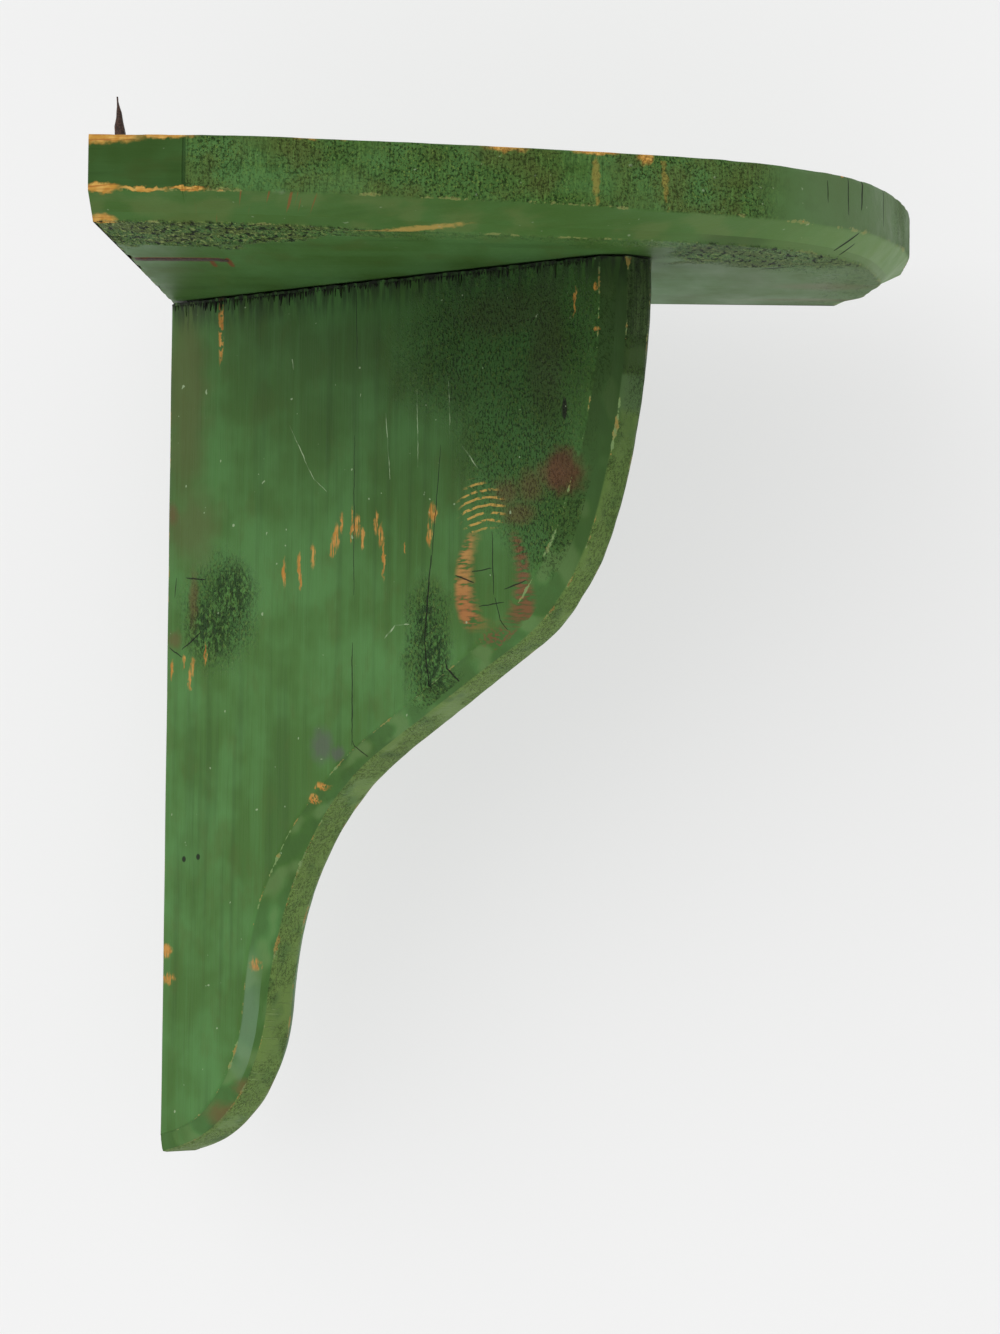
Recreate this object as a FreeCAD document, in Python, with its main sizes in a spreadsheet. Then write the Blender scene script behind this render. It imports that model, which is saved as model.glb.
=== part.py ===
import FreeCAD, Part
import math
import os
from FreeCAD import Placement, Rotation, Vector

# Corner shelf: a quarter-plan board on one S-curved bracket plank, hung in the corner of a room.
# Frame: the room corner is the Z axis and Z = 0 is the underside of the board. The left wall is the
# plane X = 0 and the right wall is the plane Y = 0, so the board fills X > 0, Y < 0.
# The bracket stands on the line that halves the corner. All sizes are in millimetres and degrees.

doc = FreeCAD.newDocument("corner_shelf")
sheet = doc.addObject("Spreadsheet::Sheet", "Sizes")

SIZES = [
    # board: two straight wall edges and a front that follows lines and arcs from left to right
    ("board_thick", 29),
    ("left_arm", 300),
    ("left_flat", 31),
    ("left_shoulder_radius", 156),
    ("left_shoulder_turn", 13.6),
    ("front_radius", 1022),
    ("front_turn", 8),
    ("nose_radius", 131),
    ("nose_turn", 52.2),
    ("side_radius", 370),
    ("bevel_rise", 10),
    ("bevel_inset", 14),
    # bracket plank: its front edge runs down from the board as a lip, belly, bulge, slope, waist and toe
    ("plank_thick", 28),
    ("plank_reach", 271.5),
    ("plank_drop", 343),
    ("lip_drop", 12),
    ("belly_radius", 230),
    ("belly_turn", 21.7),
    ("bulge_radius", 89.7),
    ("bulge_turn", 40.5),
    ("slope_run", 84.3),
    ("waist_radius", 126.6),
    ("waist_turn", 56.4),
    ("toe_radius", 68.7),
    ("toe_turn", 72),
    ("plank_chamfer", 8),
    # nails through the board into the end grain of the bracket
    ("nail_radius", 1.6),
    ("nail_length", 78),
    ("nail_point", 6),
    ("nail_head_radius", 3.4),
    ("nail_head_thick", 1.4),
    ("nail_first", 55),
    ("nail_step", 80),
    # flat iron spikes let into the wall edges and the underside
    ("spike_place", 170),
    ("spike_wide", 9),
    ("spike_thick", 3),
    ("spike_rise", 61),
    ("spike_taper_start", 36),
    ("spike_lean", 6),
    ("spike_tip", 1),
    ("spike_leg", 38),
    ("spike_toe", 27),
    ("spike_toe_wide", 6),
    # tacks that hold the spike legs to the underside
    ("tack_place", 24),
    ("tack_radius", 1.1),
    ("tack_length", 20),
    ("tack_point", 4),
    ("tack_head_radius", 3.2),
    ("tack_head_thick", 1.2),
]
NEAR = 1e-4  # how close two places are when they count as the same
UPRIGHT = Vector(0, 0, 1)

for row, (alias, value) in enumerate(SIZES, start=1):
    sheet.set(f"A{row}", alias)
    sheet.set(f"B{row}", str(value))
    sheet.setAlias(f"B{row}", alias)
doc.recompute()


def size(alias):
    """The value of one cell of the sheet."""
    return float(sheet.get(alias))


def bind(feature, **formulas):
    """Ties properties of a feature to formulas over the sheet's aliases."""
    for name, formula in formulas.items():
        feature.setExpression(name, formula)


def tangent_chain(start, heading_deg, steps):
    """Lines and arcs laid end to end, each tangent to the last, as curves and the end point.

    A step is ("line", length) or ("arc", radius, turn), with a positive turn to the left.
    """
    point = Vector(start[0], start[1], 0)
    heading = heading_deg
    curves = []
    for kind, amount, *rest in steps:
        ahead = Vector(math.cos(math.radians(heading)), math.sin(math.radians(heading)), 0)
        if kind == "line":
            end = point + ahead * amount
            curves.append(Part.LineSegment(point, end))
        else:
            turn = rest[0]
            spoke = ahead.cross(UPRIGHT) * math.copysign(amount, turn)
            centre = point - spoke
            middle = centre + Rotation(UPRIGHT, turn / 2).multVec(spoke)
            end = centre + Rotation(UPRIGHT, turn).multVec(spoke)
            curves.append(Part.Arc(point, middle, end))
            heading += turn
        point = end
    return curves, point


def polygon(points):
    """Line segments around a closed run of points (a, b) in a sketch's plane."""
    corners = [Vector(a, b, 0) for a, b in points]
    return [Part.LineSegment(a, b) for a, b in zip(corners, corners[1:] + corners[:1])]


def sketch_on(body, role, label, curves):
    """A sketch of closed curves on one of the body's own origin planes."""
    sketch = body.newObject("Sketcher::SketchObject", label)
    plane = next(f for f in body.Origin.OriginFeatures if f.Role == role)
    sketch.AttachmentSupport = [(plane, "")]
    sketch.MapMode = "FlatFace"
    sketch.addGeometry(curves, False)
    return sketch


def pad_of(body, sketch, label, length, midplane=False):
    """A pad whose length is a formula over the sheet."""
    pad = body.newObject("PartDesign::Pad", label)
    pad.Profile = sketch
    pad.Midplane = midplane
    bind(pad, Length=length)
    doc.recompute()
    return pad


# ---------------------------------------------------------------- nails and tacks

def make_nail(label, kind, place, rotation=Rotation()):
    """A wire nail or tack with its head's top at `place`, pointing along local -Z before `rotation`."""
    head = doc.addObject("Part::Cylinder", label + "_head")
    bind(head, Radius=f"Sizes.{kind}_head_radius", Height=f"Sizes.{kind}_head_thick")
    bind(head, **{"Placement.Base.z": f"-Sizes.{kind}_head_thick"})
    shank = doc.addObject("Part::Cylinder", label + "_shank")
    bind(shank, Radius=f"Sizes.{kind}_radius", Height=f"Sizes.{kind}_length - Sizes.{kind}_point")
    bind(shank, **{"Placement.Base.z": f"Sizes.{kind}_point - Sizes.{kind}_length"})
    point = doc.addObject("Part::Cone", label + "_point")
    bind(point, Radius2=f"Sizes.{kind}_radius", Height=f"Sizes.{kind}_point")
    bind(point, **{"Placement.Base.z": f"-Sizes.{kind}_length"})
    point.Radius1 = 0
    nail = doc.addObject("Part::MultiFuse", label)
    nail.Shapes = [head, shank, point]
    nail.Refine = True
    nail.Placement = Placement(place, rotation)
    return nail


def make_board_nails():
    """Three nails along the bracket's line, heads flush with the top of the board."""
    nails = []
    for index, place_name in enumerate(("rear", "middle", "front")):
        along = size("nail_first") + index * size("nail_step")
        place = on_bracket_line(along, size("board_thick"))
        nails.append(make_nail(f"board_nail_{place_name}", "nail", place))
    return nails


def on_bracket_line(along, height):
    """A point on the line that halves the corner, `along` from the corner, at `height`."""
    half = math.sqrt(0.5)
    return Vector(along * half, -along * half, height)


# ---------------------------------------------------------------- wall spikes

def make_spike(side, toe_side, turn_deg):
    """A bent flat spike. Local X runs into the board from the wall, local Y along the wall.

    Its leg lies flush in the underside, its toe is turned towards the room corner, and its blade
    rises past the top of the board, tapers to a point and leans back beyond the wall plane.
    """
    thick, wide = size("spike_thick"), size("spike_wide")
    leg, rise, lean = size("spike_leg"), size("spike_rise"), size("spike_lean")
    top, tip = size("board_thick"), size("spike_tip")

    body = doc.addObject("PartDesign::Body", f"spike_body_{side}")
    leg_lines = [(0, 0), (leg, 0), (leg, thick), (thick, thick)]
    blade_lines = [(thick, top), (tip - lean, rise), (-lean, rise), (0, top)]
    bar_sketch = sketch_on(body, "XZ_Plane", f"spike_side_{side}", polygon(leg_lines + blade_lines))
    bar = pad_of(body, bar_sketch, f"spike_bar_{side}", "Sizes.spike_wide", midplane=True)

    start, half, over = size("spike_taper_start"), wide / 2, rise + wide
    waste_lines = []
    for edge in (1, -1):
        outer = [(edge * half, start), (edge * (half + wide), start), (edge * (half + wide), over)]
        inner = [(edge * tip / 2, over), (edge * tip / 2, rise)]
        waste_lines += polygon(outer + inner)
    taper = body.newObject("PartDesign::Pocket", f"spike_taper_{side}")
    taper.Profile = sketch_on(body, "YZ_Plane", f"spike_taper_lines_{side}", waste_lines)
    taper.Type = "ThroughAll"
    taper.Midplane = True
    doc.recompute()
    if not taper.Shape.Volume < bar.Shape.Volume:
        raise ValueError("the spike's taper removed nothing")

    toe_root = [(leg - size("spike_toe_wide"), toe_side * half), (leg, toe_side * half)]
    toe_end = [(leg - step * tip, toe_side * size("spike_toe")) for step in (1, 2)]
    toe_sketch = sketch_on(body, "XY_Plane", f"spike_toe_lines_{side}", polygon(toe_root + toe_end))
    pad_of(body, toe_sketch, f"spike_toe_{side}", "Sizes.spike_thick")

    turn = Rotation(UPRIGHT, turn_deg)
    wall_place = turn.multVec(Vector(0, -toe_side * size("spike_place"), 0))
    body.Placement = Placement(wall_place, turn)
    tack_place = wall_place + turn.multVec(Vector(size("tack_place"), 0, -size("tack_head_thick")))
    tack = make_nail(f"spike_tack_{side}", "tack", tack_place, Rotation(Vector(1, 0, 0), 180))
    spike = cut_from(f"wall_spike_{side}", body, [tack])
    return spike, tack


def cut_from(label, base, tools):
    """`base` with room for `tools`, so that the pieces meet face to face."""
    tool = tools[0]
    if len(tools) > 1:
        tool = doc.addObject("Part::MultiFuse", label + "_room")
        tool.Shapes = tools
    cut = doc.addObject("Part::Cut", label)
    cut.Base = base
    cut.Tool = tool
    return cut


# ---------------------------------------------------------------- board

def make_board():
    """The board: two wall edges at a right angle, a bowed front, and a bevel under the front."""
    last_turn = 90 - size("left_shoulder_turn") - size("front_turn") - size("nose_turn")
    front, end = tangent_chain(
        (0, -size("left_arm")),
        0,
        [
            ("line", size("left_flat")),
            ("arc", size("left_shoulder_radius"), size("left_shoulder_turn")),
            ("arc", size("front_radius"), size("front_turn")),
            ("arc", size("nose_radius"), size("nose_turn")),
            ("arc", size("side_radius"), last_turn),
        ],
    )
    walls = [
        Part.LineSegment(end, Vector(end.x, 0, 0)),
        Part.LineSegment(Vector(end.x, 0, 0), Vector(0, 0, 0)),
        Part.LineSegment(Vector(0, 0, 0), Vector(0, -size("left_arm"), 0)),
    ]
    body = doc.addObject("PartDesign::Body", "board_body")
    pad = pad_of(body, sketch_on(body, "XY_Plane", "board_plan", front + walls),
                 "board_pad", "Sizes.board_thick")

    underside_front = [
        f"Edge{number}"
        for number, edge in enumerate(pad.Shape.Edges, start=1)
        if edge.BoundBox.ZMax < NEAR and not on_wall_edge(edge)
    ]
    bevel = body.newObject("PartDesign::Chamfer", "board_bevel")
    bevel.Base = (pad, underside_front)
    bevel.ChamferType = "Two distances"
    bind(bevel, Size="Sizes.bevel_rise", Size2="Sizes.bevel_inset")
    doc.recompute()
    return body


def on_wall_edge(edge):
    """Whether an edge lies in the plane of either wall."""
    box = edge.BoundBox
    return box.XMax < NEAR or box.YMin > -NEAR


# ---------------------------------------------------------------- bracket

def make_bracket():
    """The bracket plank: a straight back, a flat top, an S-curved front with both arrises taken off."""
    back = size("plank_thick") / 2
    front, end = tangent_chain(
        (size("plank_reach"), 0),
        -90,
        [
            ("line", size("lip_drop")),
            ("arc", size("belly_radius"), -size("belly_turn")),
            ("arc", size("bulge_radius"), -size("bulge_turn")),
            ("line", size("slope_run")),
            ("arc", size("waist_radius"), size("waist_turn")),
            ("arc", size("toe_radius"), -size("toe_turn")),
        ],
    )
    foot = Vector(back, -size("plank_drop"), 0)
    rest = [
        Part.LineSegment(end, foot),
        Part.LineSegment(foot, Vector(back, 0, 0)),
        Part.LineSegment(Vector(back, 0, 0), Vector(size("plank_reach"), 0, 0)),
    ]
    body = doc.addObject("PartDesign::Body", "bracket_body")
    pad = pad_of(body, sketch_on(body, "XZ_Plane", "bracket_side", front + rest),
                 "bracket_pad", "Sizes.plank_thick", midplane=True)

    front_arrises = [
        f"Edge{number}"
        for number, edge in enumerate(pad.Shape.Edges, start=1)
        if abs(abs(edge.CenterOfMass.y) - back) < NEAR
        and edge.BoundBox.XMax > back + NEAR
        and edge.BoundBox.ZMin < -NEAR
    ]
    chamfer = body.newObject("PartDesign::Chamfer", "bracket_chamfer")
    chamfer.Base = (pad, front_arrises)
    bind(chamfer, Size="Sizes.plank_chamfer")
    doc.recompute()
    body.Placement = Placement(Vector(0, 0, 0), Rotation(UPRIGHT, -45))
    return body


# ---------------------------------------------------------------- the whole shelf

nails = make_board_nails()
left_spike, left_tack = make_spike("left", toe_side=1, turn_deg=0)
right_spike, right_tack = make_spike("right", toe_side=-1, turn_deg=-90)
spikes = [left_spike, right_spike]
tacks = [left_tack, right_tack]
board = cut_from("shelf_board", make_board(), nails + spikes + tacks)
bracket = cut_from("corner_bracket", make_bracket(), nails)
pieces = [board, bracket] + nails + spikes + tacks

doc.recompute()
for thing in doc.Objects:
    if "Invalid" in thing.State or "Error" in thing.State:
        raise ValueError(f"{thing.Label} failed: {thing.State}")
os.makedirs("parts", exist_ok=True)
for piece in pieces:
    shape = piece.Shape
    if shape.isNull() or not shape.isValid() or len(shape.Solids) != 1:
        raise ValueError(f"{piece.Label} is not one valid solid")
for piece in pieces:
    piece.Shape.exportStep(f"parts/{piece.Label}.step")
    box = piece.Shape.BoundBox
    print(
        f"{piece.Label}: {piece.Shape.Volume:.0f} mm3,"
        f" x {box.XMin:.1f}..{box.XMax:.1f}, y {box.YMin:.1f}..{box.YMax:.1f}, z {box.ZMin:.1f}..{box.ZMax:.1f}"
    )
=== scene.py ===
import math

import bmesh
import bpy
from mathutils import Matrix, Vector, kdtree, noise


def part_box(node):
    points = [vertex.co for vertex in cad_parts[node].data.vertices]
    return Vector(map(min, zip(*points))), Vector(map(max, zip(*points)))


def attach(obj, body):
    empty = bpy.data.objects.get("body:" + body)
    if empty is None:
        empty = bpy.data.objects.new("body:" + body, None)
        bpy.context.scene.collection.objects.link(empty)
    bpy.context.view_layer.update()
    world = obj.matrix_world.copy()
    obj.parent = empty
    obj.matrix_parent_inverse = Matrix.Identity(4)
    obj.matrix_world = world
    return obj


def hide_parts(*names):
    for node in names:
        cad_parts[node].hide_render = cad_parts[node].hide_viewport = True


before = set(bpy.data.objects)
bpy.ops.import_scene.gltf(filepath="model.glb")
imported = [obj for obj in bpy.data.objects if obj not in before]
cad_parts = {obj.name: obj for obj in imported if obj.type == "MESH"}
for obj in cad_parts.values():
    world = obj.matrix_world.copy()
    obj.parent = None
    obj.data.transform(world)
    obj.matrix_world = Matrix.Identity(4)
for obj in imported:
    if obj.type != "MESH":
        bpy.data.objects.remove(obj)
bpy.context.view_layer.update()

# Corner shelf: a quarter-plan pine board on an S-curved bracket plank, both in worn green paint,
# with forged wall spikes, tacks and nails. Plans are drawn in millimetres in the frame's axes: the
# left wall is X = 0, the right wall is Y = 0 and the board's underside is Z = 0.

MM = 0.001


# ---------------------------------------------------------------- sizes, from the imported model

def box_mm(node):
    low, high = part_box(node)
    return [c / MM for c in low], [c / MM for c in high]


board_low, board_high = box_mm("shelf_board")
bracket_low = box_mm("corner_bracket")[0]
spike_low, spike_high = box_mm("wall_spike_left")

BOARD_THICK = board_high[2]
LEFT_ARM = -board_low[1]
# fronts are drawn as ("line", length) and ("arc", radius, turn in degrees), each tangent to the last
BOARD_FRONT = [
    ("line", 31),
    ("arc", 156, 13.6),
    ("arc", 1022, 8),
    ("arc", 131, 52.2),
    ("arc", 370, 16.2),
]
BRACKET_DROP = -bracket_low[2]
PLANK_THICK = 28
PLANK_REACH = 271.5  # along the underside, from the corner to the front edge
BRACKET_FRONT = [
    ("line", 12),
    ("arc", 230, -21.7),
    ("arc", 89.7, -40.5),
    ("line", 84.3),
    ("arc", 126.6, 56.4),
    ("arc", 68.7, -72),
]


# ---------------------------------------------------------------- outlines

def walk(start, heading_deg, steps, closing):
    """Points every 0.5 mm along a tangent chain of lines and arcs, then straight on to `closing`."""
    fine = 0.5
    x, y = start
    heading = math.radians(heading_deg)
    points = [(x, y)]
    for kind, amount, *turn in steps:
        length = amount if kind == "line" else amount * math.radians(abs(turn[0]))
        pieces = max(1, round(length / fine))
        bend = 0.0 if kind == "line" else math.radians(turn[0]) / pieces
        for _ in range(pieces):
            heading += bend / 2
            x += length / pieces * math.cos(heading)
            y += length / pieces * math.sin(heading)
            heading += bend / 2
            points.append((x, y))
    last = Vector(closing) - Vector((x, y))
    pieces = max(1, round(last.length / fine))
    points += [(x + last.x * k / pieces, y + last.y * k / pieces) for k in range(1, pieces + 1)]
    return [Vector(p) for p in points]


def even_stations(points, count):
    """`count` + 1 evenly spaced stations on a run of points: place, unit tangent, distance along."""
    along = [0.0]
    for a, b in zip(points, points[1:]):
        along.append(along[-1] + (b - a).length)
    stations = []
    index = 0
    for k in range(count + 1):
        target = along[-1] * k / count
        while index < len(points) - 2 and along[index + 1] < target:
            index += 1
        a, b = points[index], points[index + 1]
        share = (target - along[index]) / (along[index + 1] - along[index])
        stations.append((a.lerp(b, share), (b - a).normalized(), target))
    return stations


def blend_values(share, values):
    """A value that passes smoothly through evenly spaced `values` as share goes from 0 to 1."""
    place = min(max(share, 0.0), 1.0) * (len(values) - 1)
    index = min(int(place), len(values) - 2)
    t = place - index
    t = t * t * (3 - 2 * t)
    return values[index] * (1 - t) + values[index + 1] * t


def smooth_step(low, high, value):
    t = min(max((value - low) / (high - low), 0.0), 1.0)
    return t * t * (3 - 2 * t)


def wander(place, size_mm, seed=0.0):
    """Smooth noise between about -1 and 1 that changes over `size_mm`."""
    return noise.noise(Vector((place[0] + seed * 91.7, place[1] - seed * 37.1, place[2])) / size_mm)


# ---------------------------------------------------------------- mesh helpers

def in_scene(name, data):
    """A new object in the scene that holds `data`."""
    made = bpy.data.objects.new(name, data)
    bpy.context.scene.collection.objects.link(made)
    return made


class Wood:
    """A mesh in the making, whose points carry what the paint and the wear read."""

    FIELDS = ("arris", "along", "edge", "bevel", "front")

    def __init__(self):
        self.bm = bmesh.new()
        self.layers = {f: self.bm.verts.layers.float.new(f) for f in self.FIELDS}

    def point(self, place, **values):
        v = self.bm.verts.new(Vector(place) * MM)
        v[self.layers["arris"]] = 40.0
        v[self.layers["front"]] = 90.0
        for field, value in values.items():
            v[self.layers[field]] = value
        return v

    def skin(self, rows):
        """Quads between neighbouring rows of points."""
        for upper, lower in zip(rows, rows[1:]):
            for k in range(len(upper) - 1):
                ring = []
                for v in (upper[k], upper[k + 1], lower[k + 1], lower[k]):
                    if v not in ring:
                        ring.append(v)
                if len(ring) > 2:
                    self.bm.faces.new(ring)

    def nudge(self, shift):
        """Moves each point by shift(place in mm, normal, point) in mm."""
        bmesh.ops.recalc_face_normals(self.bm, faces=self.bm.faces)
        self.bm.normal_update()
        moves = [shift(v.co / MM, v.normal, v) for v in self.bm.verts]
        for v, move in zip(self.bm.verts, moves):
            v.co += move * MM

    def finish(self, name, material, turn=None, sharp_deg=50):
        bmesh.ops.recalc_face_normals(self.bm, faces=self.bm.faces)
        mesh = bpy.data.meshes.new(name)
        if turn is not None:
            bmesh.ops.transform(self.bm, matrix=turn, verts=self.bm.verts)
        self.bm.to_mesh(mesh)
        self.bm.free()
        mesh.shade_smooth()
        mesh.set_sharp_from_angle(angle=math.radians(sharp_deg))
        mesh.materials.append(material)
        return in_scene(name, mesh)


# ---------------------------------------------------------------- the board

BOARD_COLUMNS = 150
SPIKE_PLACE = 172  # from the corner to the spikes' legs, where the wall edges are cut back a little
# the bevel's height and depth, at even places along the front from the left wall to the right
BEVEL_RISE = [9.2, 9.3, 9.3, 9.2, 8.7, 9.2, 10.4, 11.8, 13.0, 14.0]
BEVEL_INSET = [16, 19, 22, 22, 16, 10, 8, 10, 17, 27]


def rim_section(rise, inset):
    """Down the board's front: (inset, height, gap to the nearest arris, edge, bevel) rows."""
    top = BOARD_THICK
    rows = [(1.8, top, 1.8, 0, 0), (0.8, top - 0.12, 0.8, 0.2, 0), (0.3, top - 0.35, 0.3, 0.8, 0)]
    rows += [(0.08, top - 0.9, 0.9, 1, 0), (0.0, top - 1.8, 1.8, 1, 0)]
    edge_rows = 10
    for k in range(1, edge_rows + 1):
        z = (top - 1.8) + (rise + 1.4 - top + 1.8) * k / edge_rows
        rows.append((0.0, z, min(abs(z - top), abs(z - rise)), 1, 0))
    slope = Vector((inset, -rise))
    down = slope.normalized()
    rows.append((0.12, rise + 0.5, 0.5, 1, 0))
    rows.append((down.x * 0.5 + 0.1, rise + down.y * 0.5, 0.5, 0.3, 0.8))
    bevel_rows = 8
    for k in range(bevel_rows + 1):
        run = 1.5 + (slope.length - 3.0) * k / bevel_rows
        gap = min(run, slope.length - run)
        rows.append((down.x * run, rise + down.y * run, gap, 0, 1))
    rows.append((inset - 0.3, 0.18, 0.3, 0, 0.6))
    rows.append((inset + 0.6, 0.03, 0.6, 0, 0))
    rows.append((inset + 2.2, 0.0, 2.2, 0, 0))
    return rows


def patch(wood, left, front_left, right, front_right, height, arris_tree):
    """A flat sheet of points inside four sides: the two wall sides and the two halves of the front."""
    n = len(left) - 1
    sheet = []
    for i in range(n + 1):
        a = i / n
        row = []
        for j in range(n + 1):
            b = j / n
            known = (
                left[i] if j == 0
                else right[j] if i == 0
                else front_left[j] if i == n
                else front_right[i] if j == n
                else None
            )
            if known is not None:
                row.append(known)
                continue
            across = left[i].co.lerp(front_right[i].co, b)
            down = right[j].co.lerp(front_left[j].co, a)
            near = left[0].co.lerp(right[n].co, b)
            far = left[n].co.lerp(front_left[n].co, b)
            place = (across + down - near.lerp(far, a)) / MM
            place.z = height
            at_front = arris_tree.find(Vector((place.x, place.y, 0)))
            gap = min(place.x, -place.y, at_front[2])
            along = at_front[1] * 0.5
            row.append(wood.point(place, arris=min(gap, 40.0), along=along, front=at_front[2]))
        sheet.append(row)
    return sheet


def board_rim(wood, outline):
    """Rows of points along the board's front, from the top face down to the underside."""
    stations = even_stations(outline, 2 * BOARD_COLUMNS)
    total = stations[-1][2]
    rim = []
    for place, tangent, along in stations:
        share = along / total
        outward = Vector((tangent.y, -tangent.x))
        if along == 0:
            outward = Vector((0, -1))
        if along == total:
            outward = Vector((1, 0))
        column = []
        for inset, z, gap, edge, bevel in rim_section(
            blend_values(share, BEVEL_RISE), blend_values(share, BEVEL_INSET)
        ):
            spot = place - outward * inset
            column.append(
                wood.point((spot.x, spot.y, z), arris=gap, along=along, edge=edge, bevel=bevel, front=inset)
            )
        rim.append(column)
    return [[column[m] for column in rim] for m in range(len(rim[0]))]


def wall_sides(wood, rows):
    """The board's two straight edges: a row of points from the corner to each end of each front row."""
    left_rows, right_rows = [], []
    for row in rows:
        level = BOARD_THICK * (1 - len(left_rows) / (len(rows) - 1))
        corner = wood.point((0, 0, level), arris=0.5)
        left = [corner]
        right = [corner]
        for j in range(1, BOARD_COLUMNS):
            for side, end in ((left, row[0]), (right, row[-1])):
                spot = corner.co.lerp(end.co, j / BOARD_COLUMNS) / MM
                gap = min(abs(BOARD_THICK - spot.z), abs(spot.z), 40.0)
                side.append(wood.point(spot, arris=gap))
        left_rows.append(left + [row[0]])
        right_rows.append(right + [row[-1]])
    return left_rows, right_rows


def weather_board(wood):
    """Uneven faces and worn arrises. Points move inward only, so the board stays in the model's box."""
    edge, bevel, arris, along_of = (wood.layers[f] for f in ("edge", "bevel", "arris", "along"))

    def weathering(p, normal, v):
        on_edge, on_bevel = v[edge], v[bevel]
        rim_here = max(on_edge, on_bevel)
        # the first 30 mm or so of the front edge are smooth, the rest is rough from the saw
        rough = smooth_step(30, 40, v[along_of]) * on_edge
        inward = 0.18 * (1 + wander(p, 26)) * rim_here
        inward += 0.22 * (1 + wander(p, 9, 2)) * on_bevel
        inward += 0.26 * abs(wander(p, 2.4, 3)) * rough
        worn = max(0.0, 1 - v[arris] / 1.6)
        inward += worn * 0.9 * max(0.0, wander((p.x, p.y, 0), 11, 4) + 0.15) * (1 if p.z > 20 else 0.6)
        shift = -normal * inward
        if rim_here == 0:
            shift = Vector((0, 0, -1 if p.z > BOARD_THICK / 2 else 1)) * 0.25 * (1 + wander(p, 60, 5)) * 0.5
            if min(p.x, -p.y) < 0.01:
                shift = Vector((0, 0, 0))
        if min(p.x, -p.y) < 0.01 and p.z < 0.01:
            # the underside's wall edges are ragged, and cut back where a spike's leg comes through
            at_spike = smooth_step(9, 3, abs(p.x - p.y - SPIKE_PLACE))
            shift.z = 0.5 + 1.6 * max(0.0, wander(p, 17, 8)) + 2.2 * at_spike
        if p.x < 0.01:
            shift.x = 0
        if p.y > -0.01:
            shift.y = 0
        # the underside is planed off towards the right wall
        planed = 2.4 * smooth_step(30, 200, p.x) * smooth_step(-70, 0, p.y)
        shift.z += planed * (1 - p.z / BOARD_THICK)
        return shift

    wood.nudge(weathering)


def make_board(material):
    wood = Wood()
    n = BOARD_COLUMNS
    outline = walk((0, -LEFT_ARM), 0, BOARD_FRONT, (board_high[0], 0))
    rows = board_rim(wood, outline)
    left_rows, right_rows = wall_sides(wood, rows)
    wood.skin(rows)
    wood.skin(left_rows)
    wood.skin(right_rows)
    for level, height in ((0, BOARD_THICK), (len(rows) - 1, 0.0)):
        front = rows[level]
        tree = kdtree.KDTree(len(outline))
        for k, p in enumerate(outline):
            tree.insert((p.x, p.y, 0), k)
        tree.balance()
        sheet = patch(
            wood, left_rows[level], front[: n + 1], right_rows[level], front[: n - 1 : -1], height, tree
        )
        wood.skin(sheet)
    weather_board(wood)
    piece = wood.finish("board", material)
    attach(piece, "root")
    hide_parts("shelf_board")
    return piece


# ---------------------------------------------------------------- the bracket

BRACKET_RINGS = 236
FACE_COLUMNS = 104
BACK_COLUMNS = 8
# the chamfers' width across the face and depth into the thickness, at even places from the board to the toe
NEAR_CHAMFER = [8, 7.6, 8.4, 10.2, 10.8, 8.6, 6.4, 6.0, 5.6, 5.4, 7.0, 8.4, 7.4, 6.6, 6.2, 7.0]
NEAR_DEPTH = [8, 8, 8, 8.2, 8.4, 8, 7, 6.4, 6, 6, 7, 7.6, 7.2, 6.6, 5.2, 1.4]
FAR_CHAMFER = [8, 8.4, 9, 9.4, 8.6, 7.6, 7, 6.6, 6.8, 7.4, 8, 8.2, 7.6, 7, 6.8, 7.2]
# the plank is drawn in the plane of the right wall, then turned to halve the corner
BRACKET_TURN = Matrix.Rotation(math.radians(-45), 4, "Z")
BACK_KNOT = Vector((46, -126))
BIG_KNOT = Vector((207.5, -119.5))


def bracket_ring(wood, place, inward, along, share):
    """One closed ring around the plank: near face, chamfer, front edge, chamfer, far face, back."""
    half = PLANK_THICK / 2
    back = half
    near_cut = blend_values(share, NEAR_CHAMFER)
    far_cut = blend_values(share, FAR_CHAMFER)
    rise_near = half - blend_values(share, NEAR_DEPTH)
    rise_far = half - min(far_cut, 8.4)
    near_in = place + inward * near_cut
    far_in = place + inward * far_cut
    ring = []

    def add(spot, side, gap, edge=0.0, bevel=0.0):
        ring.append(
            wood.point((spot.x, side, spot.y), arris=gap, along=along, edge=edge, bevel=bevel)
        )

    def face(inner, side, order):
        start = Vector((back, inner.y))
        length = max((inner - start).length, 1e-6)
        for k in order:
            q = k / FACE_COLUMNS
            spot = start.lerp(inner, q)
            add(spot, side, min(q * length, (1 - q) * length, 40.0))

    def chamfer(inner, sign, low_side, order):
        for q in order:
            spot = inner.lerp(place, q)
            run = (inner - place).length * 1.4
            side = sign * (half + (low_side - half) * q)
            add(spot, side, min(q, 1 - q) * run, bevel=1.0)

    steps = (0.08, 0.24, 0.42, 0.58, 0.76, 0.92)
    face(near_in, -half, range(FACE_COLUMNS + 1))
    chamfer(near_in, -1, rise_near, steps)
    for k in range(9):
        q = k / 8
        side = -rise_near + (rise_near + rise_far) * q
        gap = min(q, 1 - q) * (rise_near + rise_far)
        add(place, side, gap, edge=1.0, bevel=0.5 if k in (0, 8) else 0.0)
    chamfer(far_in, 1, rise_far, steps[::-1])
    face(far_in, half, range(FACE_COLUMNS, -1, -1))
    for k in range(1, BACK_COLUMNS):
        q = k / BACK_COLUMNS
        add(Vector((back, far_in.y + (near_in.y - far_in.y) * q)), half - PLANK_THICK * q, 3.0)
    return ring


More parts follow.
